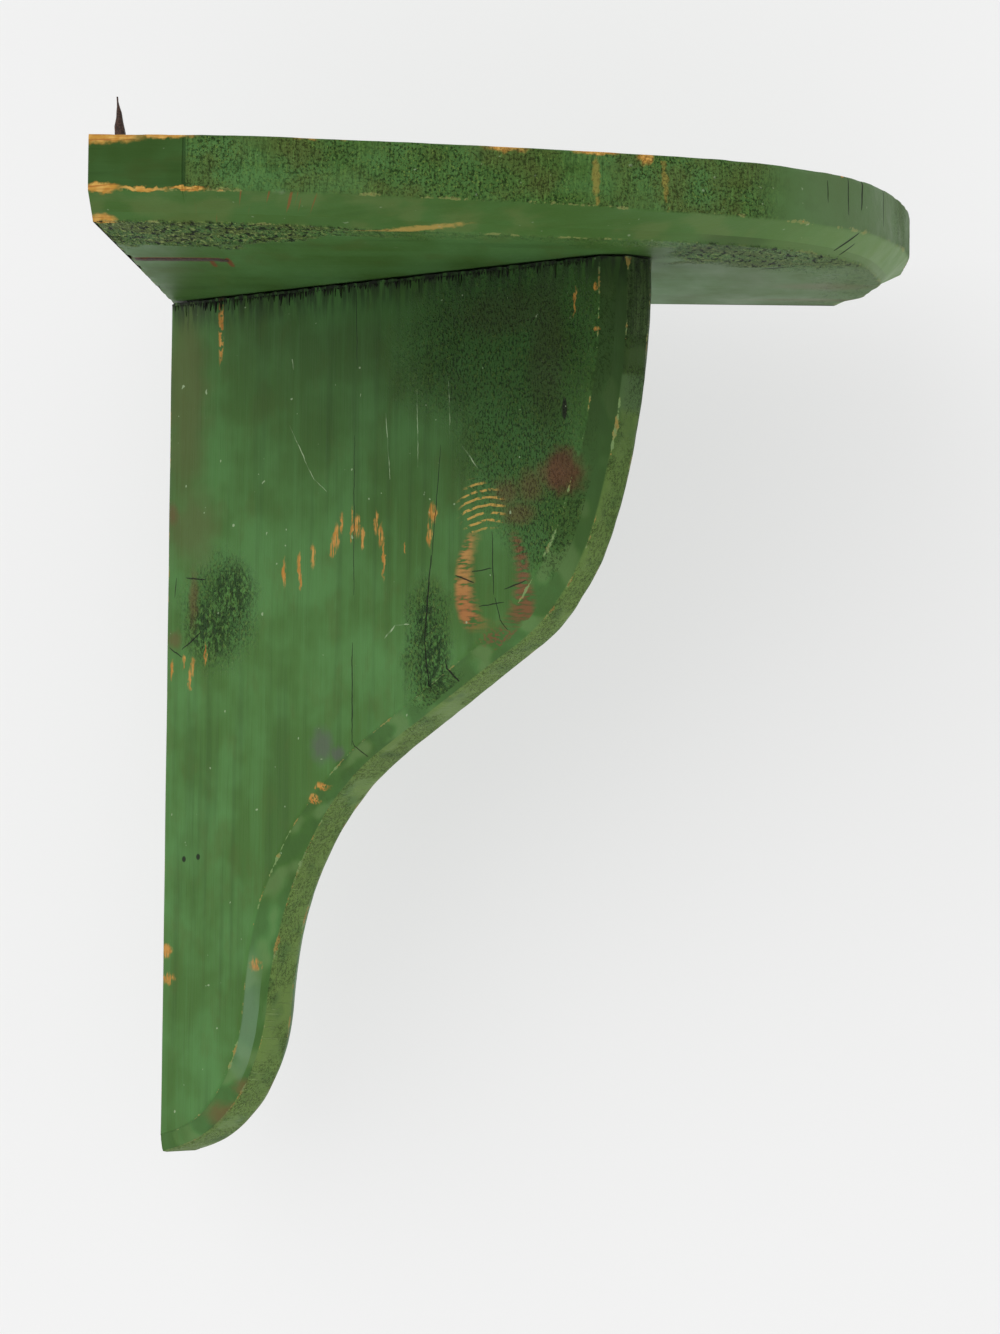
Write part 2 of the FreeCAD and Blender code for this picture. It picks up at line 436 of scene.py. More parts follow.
def weather_bracket(wood):
    """A sunk, ringed knot, a lump by the back, dished chamfers and a ragged sawn end under the board."""
    edge, bevel, arris = (wood.layers[f] for f in ("edge", "bevel", "arris"))

    def weathering(p, normal, v):
        on_edge, on_bevel = v[edge], v[bevel]
        rim_here = max(on_edge, on_bevel)
        flat = Vector((p.x, p.z))
        inward = 0.3 * (1 + wander(p, 21)) * rim_here + 0.2 * (1 + wander(p, 7, 2)) * on_bevel
        inward += 0.12 * (1 + wander((p.x, p.y, p.z * 0.4), 14, 3)) * (1 - rim_here)
        inward += 0.5 * max(0.0, 1 - v[arris] / 1.2)
        knot = smooth_step(21, 16, (flat - BIG_KNOT).length)
        rim_of_knot = smooth_step(6, 0, abs((flat - BIG_KNOT).length - 21))
        inward += 0.35 * knot - 0.1 * rim_of_knot
        shift = -normal * inward
        lump = smooth_step(30, 6, (flat - BACK_KNOT).length)
        shift.x -= 1.6 * lump * smooth_step(20, 14, p.x)
        shift += normal * 0.5 * lump * abs(wander(p, 5, 6))
        if p.z > -0.01:
            shift.z = -0.5 - 1.1 * abs(wander((p.x, p.y, 0), 3.2, 7))
        return shift

    wood.nudge(weathering)


def make_bracket(material):
    wood = Wood()
    back = PLANK_THICK / 2
    outline = walk((PLANK_REACH, 0), -90, BRACKET_FRONT, (back, -BRACKET_DROP))
    stations = even_stations(outline, BRACKET_RINGS)
    total = stations[-1][2]
    rings = []
    for k, (place, tangent, along) in enumerate(stations):
        inward = Vector((tangent.y, -tangent.x))
        if k == 0:
            inward = Vector((-1, 0))
        if k == len(stations) - 1:
            inward = Vector((0, 1))
        rings.append(bracket_ring(wood, place, inward, along, along / total))
    wood.skin([ring + ring[:1] for ring in rings])
    wood.bm.faces.new(rings[0])
    wood.bm.faces.new(rings[-1])
    weather_bracket(wood)
    piece = wood.finish("bracket", material, turn=BRACKET_TURN)
    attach(piece, "root")
    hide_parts("corner_bracket")
    return piece


# ---------------------------------------------------------------- ironwork

SPIKE_WIDE = 9.0
SPIKE_THICK = 3.0
# the blade from its tip down to the leg: how far its middle leans from the wall edge, and its thickness
BLADE_LEAN = [-5.7, -4.9, -4.0, -3.2, -2.4, -1.0, 0.5, 1.3, 1.3]
BLADE_THICK = [0.6, 3.0, 3.7, 3.5, 3.3, 3.1, 3.0, 3.0, 3.0]


def swept_bar(wood, path, seed):
    """A bar through stations (place, width direction, thickness direction, width, thickness)."""
    rings = []
    corner = [(1, 0.55), (0.72, 1), (-0.72, 1), (-1, 0.55), (-1, -0.55), (-0.72, -1), (0.72, -1), (1, -0.55)]
    for place, wide_way, thick_way, wide, thick in path:
        ring = []
        for a, b in corner:
            spot = place + wide_way * (a * wide / 2) + thick_way * (b * thick / 2)
            hammer = 0.16 * wander(spot, 3.2, seed) + 0.08 * wander(spot, 1.1, seed + 1)
            spot = spot + (wide_way * a + thick_way * b).normalized() * hammer
            ring.append(wood.point(spot, arris=0.0 if abs(a) == 1 else 1.5))
        rings.append(ring)
    wood.skin([ring + ring[:1] for ring in rings])
    wood.bm.faces.new(rings[0])
    wood.bm.faces.new(rings[-1])


def spike_path(low, high):
    """Stations of the left spike, from the blade's tip down, round the bend, along the leg and the toe."""
    along_y, along_x, up = Vector((0, 1, 0)), Vector((1, 0, 0)), Vector((0, 0, 1))
    middle_y = low[1] + SPIKE_WIDE / 2
    half = SPIKE_THICK / 2
    path = []
    rise = high[2]
    steps = 30
    for k in range(steps + 1):
        q = k / steps
        z = rise + (4.0 - rise) * q
        middle = blend_values(q, BLADE_LEAN)
        thick = blend_values(q, BLADE_THICK)
        notch = 0.9 * smooth_step(0.19, 0.15, q)
        wide = 0.8 + (SPIKE_WIDE - 0.8) * smooth_step(-0.08, 0.42, q)
        place = Vector((middle + notch * 0.5, middle_y, z))
        path.append((place, along_y, along_x, wide, max(thick - notch, 0.55)))
    for k in range(1, 4):
        turn = math.radians(90 * k / 4)
        spot = Vector((half + 2.4 - 2.6 * math.cos(turn), middle_y, half + 2.2 - 2.5 * math.sin(turn)))
        way = Vector((math.cos(turn), 0, math.sin(turn)))
        path.append((spot, along_y, way, SPIKE_WIDE, SPIKE_THICK))
    leg_end = high[0] - 4.5
    for k in range(12):
        x = half + 3.5 + (leg_end - half - 3.5) * k / 11
        spot = Vector((x, middle_y, half - 0.25))
        path.append((spot, along_y, up, SPIKE_WIDE * (1 - 0.12 * k / 11), SPIKE_THICK))
    for k in range(1, 5):
        turn = math.radians(90 * k / 4)
        spot = Vector((leg_end + 1.6 * math.sin(turn), middle_y + 2.6 * (1 - math.cos(turn)), half - 0.25))
        way = Vector((-math.sin(turn), math.cos(turn), 0))
        path.append((spot, way, up, SPIKE_WIDE * 0.86 - 0.7 * k, SPIKE_THICK * 0.95))
    toe_start = middle_y + 2.6
    toe_end = high[1] - 0.6
    for k in range(1, 12):
        q = k / 11
        y = toe_start + (toe_end - toe_start) * q
        spot = Vector((leg_end + 1.6 + 0.5 * q, y, half - 0.25))
        path.append((spot, -along_x, up, 5.0 - 4.2 * q, SPIKE_THICK * (0.9 - 0.5 * q)))
    return path


def make_spike(side, material):
    """The forged spike on one wall edge. The right one is the left one mirrored in the bracket's plane."""
    wood = Wood()
    mirrored = side == "right"
    swept_bar(wood, spike_path(spike_low, spike_high), seed=2.0 if mirrored else 0.0)
    for v in wood.bm.verts:
        v.co.x = max(v.co.x, spike_low[0] * MM)
    if mirrored:
        for v in wood.bm.verts:
            v.co = Vector((-v.co.y, -v.co.x, v.co.z))
    piece = wood.finish(f"spike_{side}", material, sharp_deg=60)
    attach(piece, "root")
    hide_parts(f"wall_spike_{side}")
    return piece


# ---------------------------------------------------------------- laying out nodes

class Net:
    """Shorthand for one node tree: each call adds a node and gives back its result socket."""

    def __init__(self, tree):
        self.tree = tree

    def feed(self, socket, value):
        if isinstance(value, bpy.types.NodeSocket):
            self.tree.links.new(value, socket)
        else:
            socket.default_value = value

    def node(self, kind, inputs=(), **settings):
        made = self.tree.nodes.new(kind)
        for name, value in settings.items():
            setattr(made, name, value)
        for key, value in dict(inputs).items():
            self.feed(made.inputs[key], value)
        return made

    def math(self, operation, *values, clamp=False):
        made = self.node("ShaderNodeMath", enumerate(values), operation=operation, use_clamp=clamp)
        return made.outputs[0]

    def product(self, first, *others):
        for other in others:
            first = self.math("MULTIPLY", first, other)
        return first

    def total(self, a, b):
        return self.math("ADD", a, b)

    def less(self, a, b):
        return self.math("SUBTRACT", a, b)

    def opposite(self, mask):
        return self.less(1.0, mask)

    def vector(self, operation, *values):
        made = self.node("ShaderNodeVectorMath", enumerate(values), operation=operation)
        return made.outputs["Value" if operation in ("LENGTH", "DOT_PRODUCT") else "Vector"]

    def ease(self, value, low, high):
        """0 at `low`, 1 at `high`, smooth between."""
        made = self.node(
            "ShaderNodeMapRange",
            {"Value": value, "From Min": low, "From Max": high},
            interpolation_type="SMOOTHSTEP",
        )
        return made.outputs[0]

    def noise(self, place, size, detail=2.0, rough=0.5):
        """Soft noise whose blotches are about `size` mm, a number or one for each axis."""
        size = size if isinstance(size, tuple) else (size, size, size)
        scaled = self.vector("DIVIDE", place, size)
        made = self.node(
            "ShaderNodeTexNoise", {"Vector": scaled, "Scale": 1.0, "Detail": detail, "Roughness": rough}
        )
        return made.outputs[0]

    def mix(self, share, a, b, blend="MIX"):
        made = self.node(
            "ShaderNodeMix", {0: share, 6: a, 7: b}, data_type="RGBA", blend_type=blend
        )
        return made.outputs[2]

    def tint(self, colour, paint, *masks):
        """The colour with `paint` over it as far as the product of the masks says."""
        return self.mix(self.product(*masks), colour, paint)

    def most(self, masks):
        result = masks[0]
        for mask in masks[1:]:
            result = self.math("MAXIMUM", result, mask)
        return result

    def group(self, tree, inputs):
        return self.node("ShaderNodeGroup", inputs, node_tree=tree).outputs


SOCKETS = {"value": "NodeSocketFloat", "place": "NodeSocketVector", "colour": "NodeSocketColor"}


def effect(name, inputs, outputs):
    """An empty shader group: its net, its input sockets and its output sockets."""
    tree = bpy.data.node_groups.new(name, "ShaderNodeTree")
    for label, (kind, default) in inputs.items():
        socket = tree.interface.new_socket(label, in_out="INPUT", socket_type=SOCKETS[kind])
        socket.default_value = default
    for label, kind in outputs.items():
        tree.interface.new_socket(label, in_out="OUTPUT", socket_type=SOCKETS[kind])
    net = Net(tree)
    return net, net.node("NodeGroupInput").outputs, net.node("NodeGroupOutput").inputs


def hue(red, green, blue):
    """A colour read off a paint chart, 0 to 255, as linear light."""
    parts = (c / 255 for c in (red, green, blue))
    return (*(c / 12.92 if c <= 0.04045 else ((c + 0.055) / 1.055) ** 2.4 for c in parts), 1.0)


ORIGIN = ("place", (0, 0, 0))


def patch_effect():
    """A soft-edged oval mark. Size holds its half widths in mm."""
    net, take, give = effect(
        "Patch",
        {"Place": ORIGIN, "Centre": ORIGIN, "Size": ("place", (1, 1, 1)), "Soft": ("value", 0.2)},
        {"Mask": "value"},
    )
    offset = net.vector("DIVIDE", net.vector("SUBTRACT", take["Place"], take["Centre"]), take["Size"])
    reach = net.vector("LENGTH", offset)
    outer = net.total(1.0, take["Soft"])
    inner = net.opposite(take["Soft"])
    net.feed(give["Mask"], net.ease(reach, outer, inner))
    return net.tree


def split_effect():
    """A line scored or split from Start to End, thinning to nothing at both ends."""
    net, take, give = effect(
        "Split",
        {"Place": ORIGIN, "Start": ORIGIN, "End": ("place", (1, 0, 0)), "Width": ("value", 0.5)},
        {"Mask": "value"},
    )
    run = net.vector("SUBTRACT", take["End"], take["Start"])
    offset = net.vector("SUBTRACT", take["Place"], take["Start"])
    length = net.vector("DOT_PRODUCT", run, run)
    share = net.math("DIVIDE", net.vector("DOT_PRODUCT", offset, run), length, clamp=True)
    nearest = net.node("ShaderNodeVectorMath", {0: run, "Scale": share}, operation="SCALE").outputs[0]
    gap = net.vector("LENGTH", net.vector("SUBTRACT", offset, nearest))
    taper = net.product(share, net.opposite(share))
    half = net.product(take["Width"], net.math("POWER", net.total(taper, 0.02), 0.4))
    net.feed(give["Mask"], net.ease(gap, half, net.product(half, 0.45)))
    return net.tree


def arris_effect():
    """Where paint has rubbed off along an arris: ragged bites, wider where the noise is high."""
    net, take, give = effect(
        "Worn arris",
        {"Place": ORIGIN, "Gap": ("value", 0.0), "Reach": ("value", 1.5), "Amount": ("value", 0.5)},
        {"Mask": "value"},
    )
    long = net.noise(take["Place"], 13, 2.5, 0.6)
    fine = net.noise(take["Place"], 1.3, 2.0)
    bite = net.total(long, net.product(net.less(fine, 0.5), 0.35))
    bite = net.less(bite, net.opposite(take["Amount"]))
    depth = net.less(net.product(bite, 9.0), net.math("DIVIDE", take["Gap"], take["Reach"]))
    net.feed(give["Mask"], net.ease(depth, -0.1, 0.25))
    return net.tree


def coat_effect():
    """Old brushed paint over pine. Fibre runs along the group's Z; Coarse marks torn, open grain."""
    net, take, give = effect(
        "Old paint",
        {
            "Place": ORIGIN,
            "Body": ("colour", hue(66, 99, 44)),
            "Deep": ("colour", hue(44, 70, 28)),
            "Faded": ("colour", hue(78, 117, 64)),
            "Coarse": ("value", 0.0),
            "Weathered": ("value", 0.5),
            "Pore length": ("value", 1.9),
            "Specks": ("value", 0.6),
        },
        {"Colour": "colour", "Roughness": "value", "Height": "value"},
    )
    place = take["Place"]
    pull = net.node("ShaderNodeCombineXYZ", {0: 1.0, 1: 1.0, 2: take["Pore length"]}).outputs[0]
    pulled = net.vector("DIVIDE", place, pull)
    streak = net.noise(place, (6.5, 6.5, 130), 3.0, 0.55)
    hair = net.noise(place, (0.75, 0.75, 26), 2.0, 0.6)
    cloud = net.noise(place, 34, 3.0, 0.55)
    blot = net.noise(place, (11, 11, 19), 3.0, 0.6)
    grit = net.noise(pulled, 0.9, 2.0, 0.65)
    pore = net.noise(pulled, 1.0, 3.0, 0.65)
    colour = net.mix(net.ease(cloud, 0.36, 0.66), take["Body"], take["Faded"])
    colour = net.mix(net.product(net.ease(streak, 0.50, 0.72), 0.34), colour, take["Deep"])
    colour = net.mix(net.product(net.ease(streak, 0.47, 0.34), 0.4), colour, take["Faded"])
    colour = net.mix(net.product(net.ease(hair, 0.56, 0.78), 0.2), colour, take["Deep"])
    olive = net.product(net.ease(blot, 0.50, 0.72), take["Weathered"])
    colour = net.tint(colour, hue(76, 94, 44), olive)
    speck = net.product(net.ease(grit, 0.52, 0.66), take["Coarse"])
    colour = net.tint(colour, hue(108, 136, 64), speck, take["Specks"])
    hollow = net.product(net.ease(pore, 0.52, 0.66), take["Coarse"])
    colour = net.tint(colour, hue(24, 42, 17), hollow, 0.82)
    net.feed(give["Colour"], colour)
    shine = net.total(0.46, net.product(net.less(blot, 0.5), 0.35))
    net.feed(give["Roughness"], net.total(shine, net.product(take["Coarse"], 0.2)))
    ridge = net.product(hair, 0.10)
    ridge = net.total(ridge, net.product(streak, 0.16))
    ridge = net.total(ridge, net.product(speck, 0.30))
    net.feed(give["Height"], net.less(ridge, net.product(hollow, 0.55)))
    return net.tree


def bare_effect():
    """Bare pine, yellow to orange brown, with its own fibre."""
    net, take, give = effect("Bare pine", {"Place": ORIGIN, "Age": ("value", 0.5)}, {"Colour": "colour"})
    fibre = net.noise(take["Place"], (0.6, 0.6, 9), 2.0, 0.6)
    blot = net.noise(take["Place"], 3.0, 2.0)
    colour = net.mix(net.ease(blot, 0.35, 0.65), hue(210, 166, 88), hue(188, 138, 60))
    colour = net.tint(colour, hue(168, 112, 52), net.ease(fibre, 0.45, 0.72))
    net.feed(give["Colour"], net.tint(colour, hue(150, 96, 44), take["Age"]))
    return net.tree


def rust_effect():
    """Old iron: brown-black scale, rust bloom and pits."""
    net, take, give = effect(
        "Rusty iron",
        {"Place": ORIGIN, "Bloom": ("value", 0.5)},
        {"Colour": "colour", "Roughness": "value", "Height": "value"},
    )
    cloud = net.noise(take["Place"], 5.5, 4.0, 0.65)
    pit = net.noise(take["Place"], 0.8, 3.0, 0.6)
    colour = net.mix(net.ease(pit, 0.42, 0.62), hue(52, 38, 33), hue(84, 60, 50))
    bloom = net.total(cloud, net.product(net.less(take["Bloom"], 0.5), 0.4))
    colour = net.tint(colour, hue(118, 66, 38), net.ease(bloom, 0.50, 0.66))
    net.feed(give["Colour"], colour)
    net.feed(give["Roughness"], net.total(0.55, net.product(cloud, 0.35)))
    net.feed(give["Height"], net.total(net.product(pit, 0.3), net.product(cloud, 0.3)))
    return net.tree


PATCH = patch_effect()
SPLIT = split_effect()
ARRIS = arris_effect()
COAT = coat_effect()
BARE = bare_effect()
RUST = rust_effect()


# ---------------------------------------------------------------- finishes

class Finish(Net):
    """A material: mm coordinates turned to the piece, layered colour and height, one shader."""

    def __init__(self, name, turn_deg=(0, 0, 0), specular=0.14):
        self.material = bpy.data.materials.new(name)
        self.material.use_nodes = True
        super().__init__(self.material.node_tree)
        self.tree.nodes.clear()
        at = self.node("ShaderNodeTexCoord").outputs["Object"]
        mapping = self.node(
            "ShaderNodeMapping",
            {
                "Vector": at,
                "Rotation": tuple(math.radians(d) for d in turn_deg),
                "Scale": (1 / MM, 1 / MM, 1 / MM),
            },
        )
        self.place = mapping.outputs[0]
        parts = self.node("ShaderNodeSeparateXYZ", {0: self.place}).outputs
        self.x, self.y, self.z = parts[0], parts[1], parts[2]
        self.shader = self.node("ShaderNodeBsdfPrincipled", {"Specular IOR Level": specular})
        out = self.node("ShaderNodeOutputMaterial")
        self.tree.links.new(self.shader.outputs[0], out.inputs["Surface"])

    def field(self, name):
        return self.node("ShaderNodeAttribute", attribute_name=name).outputs["Fac"]

    def ragged(self, spread, size):
        """The piece's coordinates shaken by `spread` mm, so that marks get torn outlines."""
        scaled = self.vector("DIVIDE", self.place, (size, size, size))
        shake = self.node(
            "ShaderNodeTexNoise", {"Vector": scaled, "Scale": 1.0, "Detail": 3.0}
        ).outputs["Color"]
        parts = self.node("ShaderNodeSeparateColor", {0: shake}).outputs
        shake = self.node("ShaderNodeCombineXYZ", {k: parts[k] for k in range(3)}).outputs[0]
        shake = self.vector("SUBTRACT", shake, (0.5, 0.5, 0.5))
        return self.vector("ADD", self.place, self.vector("MULTIPLY", shake, (2 * spread,) * 3))

    def gather(self, tree, settings):
        """The strongest of one effect's masks, added up one at a time."""
        result = None
        for values in settings:
            mask = self.group(tree, values)[0]
            result = mask if result is None else self.math("MAXIMUM", result, mask)
        return result

    def patches(self, place, marks, soft=0.25):
        """One mask for a list of (centre, half widths)."""
        return self.gather(
            PATCH, [{"Place": place, "Centre": centre, "Size": size, "Soft": soft} for centre, size in marks]
        )

    def splits(self, place, marks):
        """One mask for a list of (start, end, width)."""
        return self.gather(
            SPLIT,
            [{"Place": place, "Start": start, "End": end, "Width": width} for start, end, width in marks],
        )

    def spots(self, place, rows, soft=0.25):
        """Marks on the plank as (across, up, half width, half height). They reach right through it."""
        return self.patches(place, [((x, 0, z), (a, 60, b)) for x, z, a, b in rows], soft)

    def lines(self, place, rows):
        """Splits on the plank as (across, up, across, up, width)."""
        return self.splits(place, [((x1, 0, z1), (x2, 0, z2), width) for x1, z1, x2, z2, width in rows])

    def speckle(self, size, low, high):
        """Scattered small flecks about `size` mm across."""
        return self.ease(self.noise(self.place, size, 1.0), low, high)

    def lay(self, colour, roughness, height):
        """Height is in mm."""
        self.feed(self.shader.inputs["Base Color"], colour)
        self.feed(self.shader.inputs["Roughness"], roughness)
        bump = self.node("ShaderNodeBump", {"Strength": 1.0, "Distance": MM, "Height": height})
        self.tree.links.new(bump.outputs[0], self.shader.inputs["Normal"])
        return self.material


def plank_coat(f):
    """The green over upright grain, with torn grain on the near face and saw rungs on the front edge."""
    f.torn = f.spots(
        f.loose,
        [(212, -30, 52, 26), (222, -60, 30, 34), (172, -146, 12, 26), (48, -126, 20, 20), (236, -95, 22, 20)],
        0.5,
    )
    f.torn = f.product(f.torn, f.near)
    sawn = f.product(f.on_edge, f.ease(f.noise(f.place, 16, 2.0), 0.36, 0.5))
    coarse = f.most([f.torn, f.product(sawn, 0.8)])
    coat = f.group(
        COAT,
        {
            "Place": f.place, "Coarse": coarse, "Weathered": 0.3, "Pore length": 1.5, "Specks": 0.8,
            "Body": hue(66, 103, 45), "Faded": hue(78, 123, 65),
        },
    )
    colour, roughness, height = coat[0], coat[1], coat[2]

    worn_edge = f.mix(f.ease(f.noise(f.place, 7, 3.0), 0.4, 0.6), hue(98, 122, 62), hue(84, 108, 56))
    colour = f.mix(f.product(f.on_edge, 0.7), colour, worn_edge)
    f.along = f.field("along")
    rung_at = f.node("ShaderNodeCombineXYZ", {0: f.along, 1: f.product(f.y, 0.06)}).outputs[0]
    rung = f.noise(rung_at, (1.1, 1.0, 1.0), 2.0)
    rungs = f.product(f.ease(rung, 0.55, 0.68), f.product(f.on_edge, f.ease(f.along, 160, 300)))
    colour = f.tint(colour, hue(128, 156, 92), rungs, 0.6)
    height = f.total(height, f.product(rungs, 0.3))

    knife = f.noise(f.node("ShaderNodeCombineXYZ", {0: f.along, 1: f.y}).outputs[0], (16, 7, 7), 1.0)
    colour = f.tint(colour, hue(62, 94, 46), f.on_bevel, f.product(f.ease(knife, 0.42, 0.58), 0.55))
    colour = f.tint(colour, hue(102, 130, 78), f.on_bevel, f.product(f.ease(knife, 0.5, 0.36), 0.5))

    # painted shade: the chamfer is darker near the top of the plank
    painted_shade_high_up = f.ease(f.along, 170, 40)
    colour = f.tint(colour, hue(52, 76, 34), f.on_bevel, f.product(painted_shade_high_up, 0.65))
    colour = f.tint(colour, hue(42, 76, 32), f.torn, f.face, 0.35)
    lit = f.product(f.ease(f.along, 45, 60), f.ease(f.noise(f.place, 9, 2.0), 0.3, 0.5))
    colour = f.tint(colour, hue(112, 138, 70), f.on_edge, lit, 0.5)
    return colour, roughness, height


def plank_edge(f, colour):
    """The front edge from the board down, and the painted shade and dirt that darken the top of the plank."""
    # the front edge in the order the saw and the brush left it: ridged, rough, then smooth
    ridge_at = f.noise(f.place, (40, 0.9, 26), 2.0)
    ridged = f.product(f.on_edge, f.ease(f.z, -32, -28))
    colour = f.mix(
        f.product(ridged, 0.75),
        colour,
        f.mix(f.ease(ridge_at, 0.4, 0.6), hue(50, 70, 38), hue(84, 104, 68)),
    )
    rough_block = f.product(f.on_edge, f.product(f.ease(f.z, -28, -31), f.ease(f.z, -45, -43)))
    colour = f.tint(colour, hue(44, 68, 30), rough_block, 0.55)
    smooth_block = f.product(f.on_edge, f.product(f.ease(f.z, -43, -45), f.ease(f.z, -60, -55)))
    colour = f.tint(colour, hue(92, 120, 80), smooth_block, 0.75)

    # painted shade from the board above, with some dirt: the paint is darker towards the top
    painted_shade_and_dirt = f.product(f.ease(f.z, -150, -8), f.total(0.62, f.product(f.ease(f.x, 40, 230), 0.38)))
    colour = f.mix(painted_shade_and_dirt, colour, f.mix(1.0, colour, (0.47, 0.53, 0.39, 1), "MULTIPLY"))
    return colour


def plank_stains(f, colour, height):
    """Rubs, the rough knot by the back, and old rust bled through the paint."""
    # brown-olive rub near the back, and the browner band beside the torn grain
    rub = f.spots(f.loose, [(25, -40, 12, 42), (30, -92, 14, 14)], 0.6)
    colour = f.tint(colour, hue(80, 84, 46), rub, f.near, 0.6)
    dull = f.spots(f.loose, [(236, -32, 9, 30), (212, -18, 26, 8)], 0.6)
    colour = f.tint(colour, hue(52, 56, 32), dull, f.face, 0.4)
    # the rough dark knot by the back, and its neighbours
    shade = f.spots(
        f.shaken, [(55, -119, 13, 11), (42, -133, 15, 11), (175, -148, 8, 14), (170, -134, 5, 10)], 0.5
    )
    grit = f.noise(f.place, (1.9, 1.9, 2.4), 3.0, 0.7)
    pits = f.product(f.ease(grit, 0.47, 0.60), f.product(shade, f.near))
    colour = f.tint(colour, hue(26, 50, 22), pits, 0.75)
    lumps = f.product(f.ease(grit, 0.45, 0.34), f.product(shade, f.near))
    colour = f.tint(colour, hue(88, 134, 66), lumps, 0.6)
    height = f.less(height, f.product(pits, 0.5))
    # old rust bled through the paint
    stain = f.spots(f.shaken, [(245, -79, 8.5, 8.5)], 0.4)
    smear = f.spots(
        f.shaken,
        [
            (215, -86, 7, 5), (228, -84, 7, 6), (238, -80, 9, 4), (222, -94, 8, 4), (31, -121, 2.6, 10),
            (19, -137, 4, 3), (17, -86, 3, 4),
        ],
        0.7,
    )
    colour = f.tint(colour, hue(84, 50, 34), stain, f.near, 0.85)
    colour = f.tint(colour, hue(98, 66, 44), smear, f.near, 0.5)
    smudge = f.spots(f.shaken, [(111, -180, 6, 6), (120, -183, 4, 2.5)], 0.6)
    colour = f.tint(colour, hue(84, 82, 82), smudge, f.near, 0.6)
    return colour, height


def plank_knot(f, colour):
    """The big knot: bare crescents round a painted heart, and growth rings above it."""
    centre = (BIG_KNOT.x, 0, BIG_KNOT.y)
    disc = f.patches(f.trembling, [(centre, (20.5, 60, 24))], 0.08)
    heart = f.patches(f.shaken, [((BIG_KNOT.x + 0.5, 0, BIG_KNOT.y + 4), (12.5, 60, 22))], 0.25)
    crescent = f.product(disc, f.opposite(heart))
    crescent = f.product(crescent, f.near, f.ease(f.z, -98, -104))
    crescent = f.product(crescent, f.ease(f.z, -139, -132))
    fan = f.noise(f.place, (6, 6, 1.2), 2.0)
    crescent = f.product(crescent, f.ease(fan, 0.64, 0.52))
    bare_left = f.mix(f.ease(fan, 0.4, 0.6), hue(168, 126, 70), hue(134, 104, 56))
    bare_left = f.mix(
        f.ease(f.z, -112, -130),
        bare_left,
        f.mix(f.ease(fan, 0.4, 0.6), hue(158, 106, 60), hue(124, 84, 50)),
    )
    bare_right = f.mix(f.ease(fan, 0.4, 0.6), hue(112, 80, 50), hue(84, 76, 44))
    colour = f.mix(crescent, colour, f.mix(f.ease(f.x, 202, 212), bare_left, bare_right))
    foot = f.product(
        f.spots(f.shaken, [(211, -141, 9, 4)], 0.5),
        f.ease(f.noise(f.place, (1.6, 1.6, 1.2), 2.0), 0.46, 0.6),
    )
    colour = f.tint(colour, hue(116, 70, 50), foot, f.near, 0.7)
    ring_gap = f.vector("LENGTH", f.vector("SUBTRACT", f.trembling, (BIG_KNOT.x - 2, 0, BIG_KNOT.y - 12)))
    ring = f.math("SINE", f.product(ring_gap, 2 * math.pi / 2.9))
    arc = f.spots(f.loose, [(201, -91, 13, 8.5)], 0.25)
    broken = f.ease(f.noise(f.place, (2.6, 2.6, 1.6), 2.0), 0.36, 0.5)
    arcs = f.product(f.ease(ring, 0.35, 0.75), arc, f.product(broken, f.near))
    colour = f.tint(colour, hue(180, 146, 72), arcs)
    return colour


def plank_chips(f, colour):
    """Paint chipped off the face and rubbed off the arrises."""
    # bare chips, in a broken row across the plank and along its edges
    chips = f.spots(
        f.shaken,
        [
            (87, -112, 1.1, 5.0), (96, -110, 1.0, 5.5), (97, -116, 1.1, 3.0), (104, -106, 1.4, 4.0),
            (116, -103, 1.5, 4.0), (118, -99, 1.6, 4.5), (121, -94, 1.0, 3.5), (127, -95, 0.6, 6.0),
            (130, -95, 1.6, 3.5), (133, -100, 1.2, 3.5), (141, -94, 1.0, 4.0), (144, -99, 1.5, 4.0),
            (146, -108, 0.6, 7.0), (158, -105, 0.5, 2.0),
            (174, -92, 1.8, 3.5), (172, -99, 1.2, 4.5),
            (18, -149, 0.9, 3.5), (25, -146, 0.9, 2.5), (31, -148, 1.2, 3.5), (39, -143, 0.8, 4.0),
            (29, -153, 1.0, 4.0), (69, -266, 1.7, 2.6), (105, -201, 1.7, 1.7), (110, -196, 3.0, 1.3),
            (85, -236, 1.0, 1.2), (83, -243, 1.3, 1.5), (17, -262, 3.2, 2.4), (18, -273, 4.0, 2.0),
            (251, -16, 0.5, 4.5), (262, -12, 0.6, 1.4),
            (262, -27, 1.1, 0.8),
        ],
        0.45,
    )
    beads = f.product(
        f.spots(f.trembling, [(46, -11, 1.6, 15)], 0.3),
        f.ease(f.noise(f.place, (2, 2, 2.2), 1.0), 0.42, 0.56),
    )
    fray = f.ease(f.noise(f.place, (0.8, 0.8, 5.0), 2.0), 0.36, 0.50)
    chips = f.product(f.most([f.product(chips, fray), beads]), f.near)
    bare = f.group(BARE, {"Place": f.place, "Age": 0.4})[0]
    colour = f.mix(chips, colour, bare)

    # rubbed arrises
    rubbed = f.group(ARRIS, {"Place": f.place, "Gap": f.gap, "Reach": 0.7, "Amount": 0.48})[0]
    pale = f.mix(f.ease(f.noise(f.place, 5, 2.0), 0.42, 0.6), hue(120, 146, 92), hue(150, 128, 66))
    colour = f.mix(f.product(rubbed, 0.8), colour, pale)
    return colour, chips


